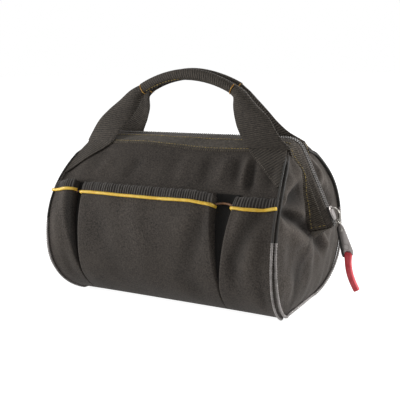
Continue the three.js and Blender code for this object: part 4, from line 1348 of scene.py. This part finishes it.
for half, side in HALVES:
    t = np.linspace(0, 1, 70)
    path = bezier(t, *GRIP_PATH) + (0, side * GRIP["spread"], 0)
    angle = turns(28)
    # The webbing wraps round itself: its free edge makes a step along the lower front of the grip
    from_edge = np.mod(angle + 0.9, 2 * np.pi)
    step = 0.9 * rise(from_edge, 0, 0.5) * (1 - rise(from_edge, 2.2, 6.2))
    squash = 1 + 0.05 * np.sin(t * 9 + side)[:, None]
    wide = (GRIP["thick"] / 2 - 0.3 + step)[None] * squash
    tall = (GRIP["width"] / 2 - 0.5 + step)[None] / squash
    section = np.stack([np.cos(angle)[None] * wide * -side, np.sin(angle)[None] * tall], -1)
    grip = make_sweep(f"{half}_rolled_grip", path, section, (0, 0, 1), webbing)
    attach(grip, f"{half}_handle", "webbing", f"{half}_handle_grip")
    across = np.cross((0, 1.0, 0), unit(np.gradient(path, axis=0)))
    below = across * (GRIP["width"] / 2 - 1.9) * np.sign(across[:, 2:])
    low = (path - below + (0, side * 3.4, 0))[3:30]
    rows = [(low, np.broadcast_to(unit(np.array((0, side * 0.8, -0.6))), low.shape))]
    attach(make_row(f"{half}_grip_stitches", rows, *GRIP_STITCHES), f"{half}_handle", "webbing")

    for end, sign in ENDS:
        strap = make_rings(f"{half}_{end}_flat_strap", strap_rings(half, side, end, sign), webbing)
        # The foot stays sewn to the band. Points for the foot and for the webbing above it are set, but the
        # strap is only baked in place and does not turn with the grip
        foot, bent = (0, side * 0.037, 0.2045), (0, side * 0.037, 0.230)
        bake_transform(strap)
        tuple(foot)
        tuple(bent)
        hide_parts(f"{half}_{end}_strap")
    tacks = make_row(f"{half}_grip_bar_tacks", list(grip_tacks(path)), *BAR_TACKS)
    attach(tacks, f"{half}_handle", "webbing")

    rows = []
    for end, sign in ENDS:
        K, R = grid((0, 1, 24), (0, 1, 34))
        V = mix(STRAP_END_V, STRAP_END_TOP_V, R)
        S = sign * mix(strap_end_edge(R), 0.985, K)
        base_lift = upper_lift(side, S, V)
        outer = wall_at(side, S, V, base_lift + SEAT_GAP + WEBBING_THICK)
        outer[..., 2] += 2.6 * rise(R, 0.93, 1)
        inner = wall_at(side, S, V, base_lift + 0.05)
        x, z = outer[..., 0], outer[..., 2]
        flat = np.stack([x * 0.66 + z * 0.75, z * 0.66 - x * 0.75], -1)
        patch = make_sheet(f"{half}_{end}_sewn_strap_end", outer, inner, webbing, flat)
        attach(patch, f"bend_{half}", "webbing", f"{half}_{end}_strap_end")
        r = np.linspace(0.02, 0.9, 30)
        v = mix(STRAP_END_V, STRAP_END_TOP_V, r)
        s = sign * (strap_end_edge(r) + 0.012)
        lift = upper_lift(side, s, v) + SEAT_GAP + 2.1
        rows.append((wall_at(side, s, v, lift), wall_normal(side, s, v)))
    stitches = make_row(f"{half}_strap_end_stitches", rows, *STRAP_END_STITCHES)
    attach(stitches, f"bend_{half}", "webbing")

# Slider and pull, in their own frames: X runs down the zipper and Z away from it. The link leans
# off the slider, the tab off the link and the tail off the tab.


def turn_y(angle):
    c, s = math.cos(angle), math.sin(angle)
    return np.array([[c, 0, s], [0, 1, 0], [-s, 0, c]])


def next_frame(frame_before, offset, angle):
    """The turn and the place of the next part of the pull."""
    turn, place = frame_before
    return turn @ turn_y(angle), place + turn @ np.array(offset)


run = unit(np.array(ZIP_END, float) - np.array(RIDGE, float))
SLIDER = turn_y(math.atan2(-run[1], run[0])), zip_at(np.array(ZIP_LENGTH - 15.5))
LINK = next_frame(SLIDER, [3.2, 0, 5.55], -0.2)
TAB = next_frame(LINK, [18.8, -5.6, 0], 0.31)
TAIL = next_frame(TAB, [28.9, 0, 0], 0.12)
# The tab's own plates lie in X and Z of its frame, and the black sheet of painted shade for its edge stands
# off its face
TAB_FACE = TAB[0] @ np.array([[1, 0, 0], [0, 0, -1], [0, 1, 0]]), TAB[1]
TAB_EDGE_SHADE = TAB_FACE[0], TAB[1] + TAB[0] @ np.array([1.0, 0, -2.4])


def into(own_frame, points):
    turn, place = own_frame
    return np.asarray(points, float) @ turn.T + place


def rounded(points, radius):
    """An outline with its corners rounded off."""
    points = np.asarray(points, float)
    result = []
    for before, corner, after in zip(np.roll(points, 1, 0), points, np.roll(points, -1, 0)):
        ends = []
        for other in (before, after):
            away = other - corner
            ends.append(corner + unit(away) * min(radius, np.linalg.norm(away) * 0.45))
        result.append(bezier(np.linspace(0, 1, 5), ends[0], corner, ends[1]))
    return np.concatenate(result)


def plate(name, own_frame, outline, low, high, bevel, material):
    """A plate with soft edges, with its outline in X and Y of its frame, from low to high in Z."""
    outline = np.asarray(outline, float)
    ahead, behind = np.roll(outline, -1, 0) - outline, outline - np.roll(outline, 1, 0)
    normal = unit(unit(ahead) + unit(behind))[:, ::-1] * (1, -1)
    if ((outline - outline.mean(0)) * normal).sum() < 0:
        normal = -normal
    levels = [(low, -1.0), (low + 0.3 * bevel, -0.4), (low + bevel, 0)]
    levels += [(high - bevel, 0), (high - 0.3 * bevel, -0.4), (high, -1.0)]
    rings = [np.c_[outline + normal * bevel * inset, np.full(len(outline), z)] for z, inset in levels]
    return make_rings(name, into(own_frame, np.array(rings)), material)


def joined(name, *pieces):
    """One object from several, with their materials kept."""
    for piece in bpy.context.selected_objects:
        piece.select_set(False)
    for piece in pieces:
        piece.select_set(True)
    bpy.context.view_layer.objects.active = pieces[0]
    bpy.ops.object.join()
    pieces[0].name = name
    return pieces[0]


def bar(name, own_frame, points, width, height, material, up=(0, 1, 0)):
    section = ring(width, height, 0.8, 12)
    return make_sweep(name, into(own_frame, points), section, own_frame[0] @ np.array(up, float), material)


half_outline = [(-8.5, 4.2), (-5.5, 5.8), (4, 5.4), (8.5, 3.6)]
body_outline = rounded([(x, -y) for x, y in half_outline] + half_outline[::-1], 2.2)
top_plate = plate("top_plate", SLIDER, body_outline, 2.65, 4.4, 0.6, gunmetal)
low_plate = plate("low_plate", SLIDER, body_outline, -4.2, -2.65, 0.5, gunmetal)
post = bar("post", SLIDER, [(-6.6, 0, z) for z in (-3.2, 0, 3.2)], 3.4, 0.8, nickel)
arc = np.linspace(-0.12, np.pi + 0.12, 30)
arch_path = xyz(3.0 + 8.6 * np.cos(arc), 0, 4.9 + 6.9 * np.sin(arc))
arch = bar("loop", SLIDER, arch_path, 2.3, 3.0, nickel)
attach(joined("nickel_zip_slider", top_plate, low_plate, post, arch), "slider", "nickel", "zip_slider")

# The link rides on the arch, and its neck ends in the rivet that carries the tab
angle = np.linspace(0, 2 * np.pi, 22)[:-1]
eye_path = xyz(9.2 + 2.3 * np.cos(angle), 2.6 * np.sin(angle), 0)
eye = bar("eye", LINK, eye_path, 1.5, 1.5, nickel, (0, 0, 1))
neck_path = np.array([(11.2, 0, 0), (13, -0.8, 0), (15, -2.2, 0), (17, -3.4, 0), (18.8, -4.2, 0)])
neck = bar("neck", LINK, neck_path, 2.6, 2.4, nickel, (0, 0, 1))
rivet_rings = []
for y, radius in ((-3.8, 1.5), (-6.6, 1.5), (-6.9, 2.2), (-7.4, 2.3), (-7.9, 1.7), (-8.1, 0.7)):
    rivet_rings.append(xyz(18.8 + radius * np.cos(turns(20)), y, radius * np.sin(turns(20))))
rivet = make_rings("rivet", into(LINK, np.array(rivet_rings)), nickel)
knob_line = into(LINK, neck_path[:-1])
knob_out = np.broadcast_to(LINK[0] @ np.array([0, -1.0, 0]), knob_line.shape)
knobs = make_row("neck_knobs", [(knob_line, knob_out)], *NECK_KNOBS)
attach(joined("bumpy_pull_link", eye, neck, rivet, knobs), "link", "nickel", "pull_link")

# Tab: a tapered plate with a black sheet behind it, painted shade for its edge with the dark bag reflected in
# it, and a plain ring pressed in its face
half_outline = [(-5.6, 2.0), (-3.0, 3.5), (27, 6.3), (30.8, 5.8)]
outline = [(-5.6, -2.0), *half_outline, *[(x, -y) for x, y in half_outline[:0:-1]]]
tab_outline = rounded(outline, 1.8)
face_plate = plate("tab_face", TAB_FACE, tab_outline, -0.1, 1.25, 0.45, gunmetal)
edge_shade = plate("tab_edge_shade", TAB_EDGE_SHADE, tab_outline * (1.05, 1.12), -1.6, -0.15, 0.4, painted_shade_tab_edge)
around = np.linspace(0, 2 * np.pi, 26)[:-1]
rims = []
circles = (("tab_ring", 21.5, -1.25, 3.4, (0.8, 0.9)), ("tab_rim", 0, -1.2, 2.9, (0.7, 0.7)))
for name, middle, y, radius, size in circles:
    path = xyz(middle + radius * np.cos(around), y, radius * np.sin(around))
    rims.append(bar(name, TAB, path, *size, gunmetal))
attach(joined("tapered_pull_tab", face_plate, edge_shade, *rims), "tab", "gunmetal", "pull_tab")

# Tail: a moulded strip whose eye goes round the foot of the tab, bent a little by its own memory
t = np.linspace(0, 1, 30)
tail_path = xyz(mix(-1.0, 46.5, t), 0, -3.6 * np.sin(np.pi * t * 0.95) + 3.0 * t**2)
thick = np.interp(t, [0, 0.06, 0.16, 0.25, 1], [7.0, 9.0, 8.2, 7.4, 6.6])
wide = np.interp(t, [0, 0.06, 0.97, 1], [6.6, 7.6, 7.4, 6.9])
section = ring(1, 1, 0.55, 20)[None] * np.stack([thick, wide], -1)[:, None]
tail = make_sweep("red_pull_tail", into(TAIL, tail_path), section, (0, 1, 0), red_rubber)
attach(tail, "tail", "red_rubber", "pull_tail")

# Nodes of the CAD model that stay

staying = {"front_frame_wire": steel_wire, "back_frame_wire": steel_wire, "base_board": base_sheet}
for name, material in staying.items():
    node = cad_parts[name]
    node.data.materials.clear()
    node.data.materials.append(material)

# Camera, at the photograph's angle

CAMERA_AIM = (9.24, 0, 125.3)
CAMERA_DISTANCE = 976
azimuth, elevation, roll = (math.radians(degrees) for degrees in (30.44, 11.89, 1.93))
level_run = math.cos(elevation)
back = Vector((math.sin(azimuth) * level_run, -math.cos(azimuth) * level_run, math.sin(elevation)))
right = Vector((math.cos(azimuth), math.sin(azimuth), 0))
up = back.cross(right)
turned_right = right * math.cos(roll) - up * math.sin(roll)
turned_up = right * math.sin(roll) + up * math.cos(roll)
camera_data = bpy.data.cameras.new("Camera")
camera_data.lens = 67.05
camera_data.sensor_width = 36
camera = put("Camera", camera_data)
place = Vector(CAMERA_AIM) * MM + back * CAMERA_DISTANCE * MM
turn = Matrix((turned_right, turned_up, back)).transposed()
camera.matrix_world = Matrix.Translation(place) @ turn.to_4x4()
bpy.context.scene.camera = camera

# Table, backdrop and lamps: a pale table in soft daylight

TABLE_HALF, TABLE_DROP = 6, 0.0006


def seen_rays(tree):
    """1 for rays that the camera sees directly, in a reflection or through something."""
    path = add(tree, "ShaderNodeLightPath")
    first = calc(tree, "MAXIMUM", (path, "Is Camera Ray"), (path, "Is Glossy Ray"))
    return calc(tree, "MAXIMUM", first, (path, "Is Transmission Ray"))


def show_two(tree, kind, usual, seen):
    """Gives one shader to the light and another to the rays that are seen."""
    shown = add(tree, "ShaderNodeMixShader", {0: seen_rays(tree), 1: usual, 2: seen})
    add(tree, kind, {"Surface": (shown, "Shader")})


table, tree = bare_material("white_painted_table")
paint, pale = (add(tree, "ShaderNodeBsdfDiffuse", {"Color": colour(tone)}) for tone in ("e6e6e6", "b0b0b0"))
glow = add(tree, "ShaderNodeEmission", {"Color": (1, 1, 1, 1), "Strength": 0.93})
lit = add(tree, "ShaderNodeAddShader", {0: (pale, "BSDF"), 1: (glow, "Emission")})
show_two(tree, "ShaderNodeOutputMaterial", (paint, "BSDF"), (lit, "Shader"))
mesh = bpy.data.meshes.new("table_top")
corners = [(x * TABLE_HALF, y * TABLE_HALF, -TABLE_DROP) for x, y in ((-1, -1), (1, -1), (1, 1), (-1, 1))]
mesh.from_pydata(corners, [], [(0, 1, 2, 3)])
mesh.materials.append(table)
put("table_top", mesh)

world = bpy.data.worlds.new("soft_daylight")
bpy.context.scene.world = world
world.use_nodes = True
tree = world.node_tree
tree.nodes.clear()
glows = ({"Color": (1, 1, 1, 1), "Strength": power} for power in (0.24, 1.0))
sky, white = (add(tree, "ShaderNodeBackground", glow) for glow in glows)
show_two(tree, "ShaderNodeOutputWorld", (sky, "Background"), (white, "Background"))


def lamp(name, place, size, power):
    light = bpy.data.lights.new(name, "AREA")
    light.shape = "DISK"
    light.size = size
    light.energy = power
    piece = put(name, light)
    piece.location = place
    piece.rotation_mode = "QUATERNION"
    piece.rotation_quaternion = (Vector(place) - Vector((0, 0, 0.12))).to_track_quat("Z", "Y")


lamp("key_lamp", (-1.15, -0.8, 0.35), 0.45, 14)
lamp("fill_lamp", (1.3, 0.75, 0.8), 0.35, 20)
lamp("back_lamp", (0.1, 1.6, 1.3), 0.8, 12)

bpy.context.scene.view_settings.view_transform = "Standard"
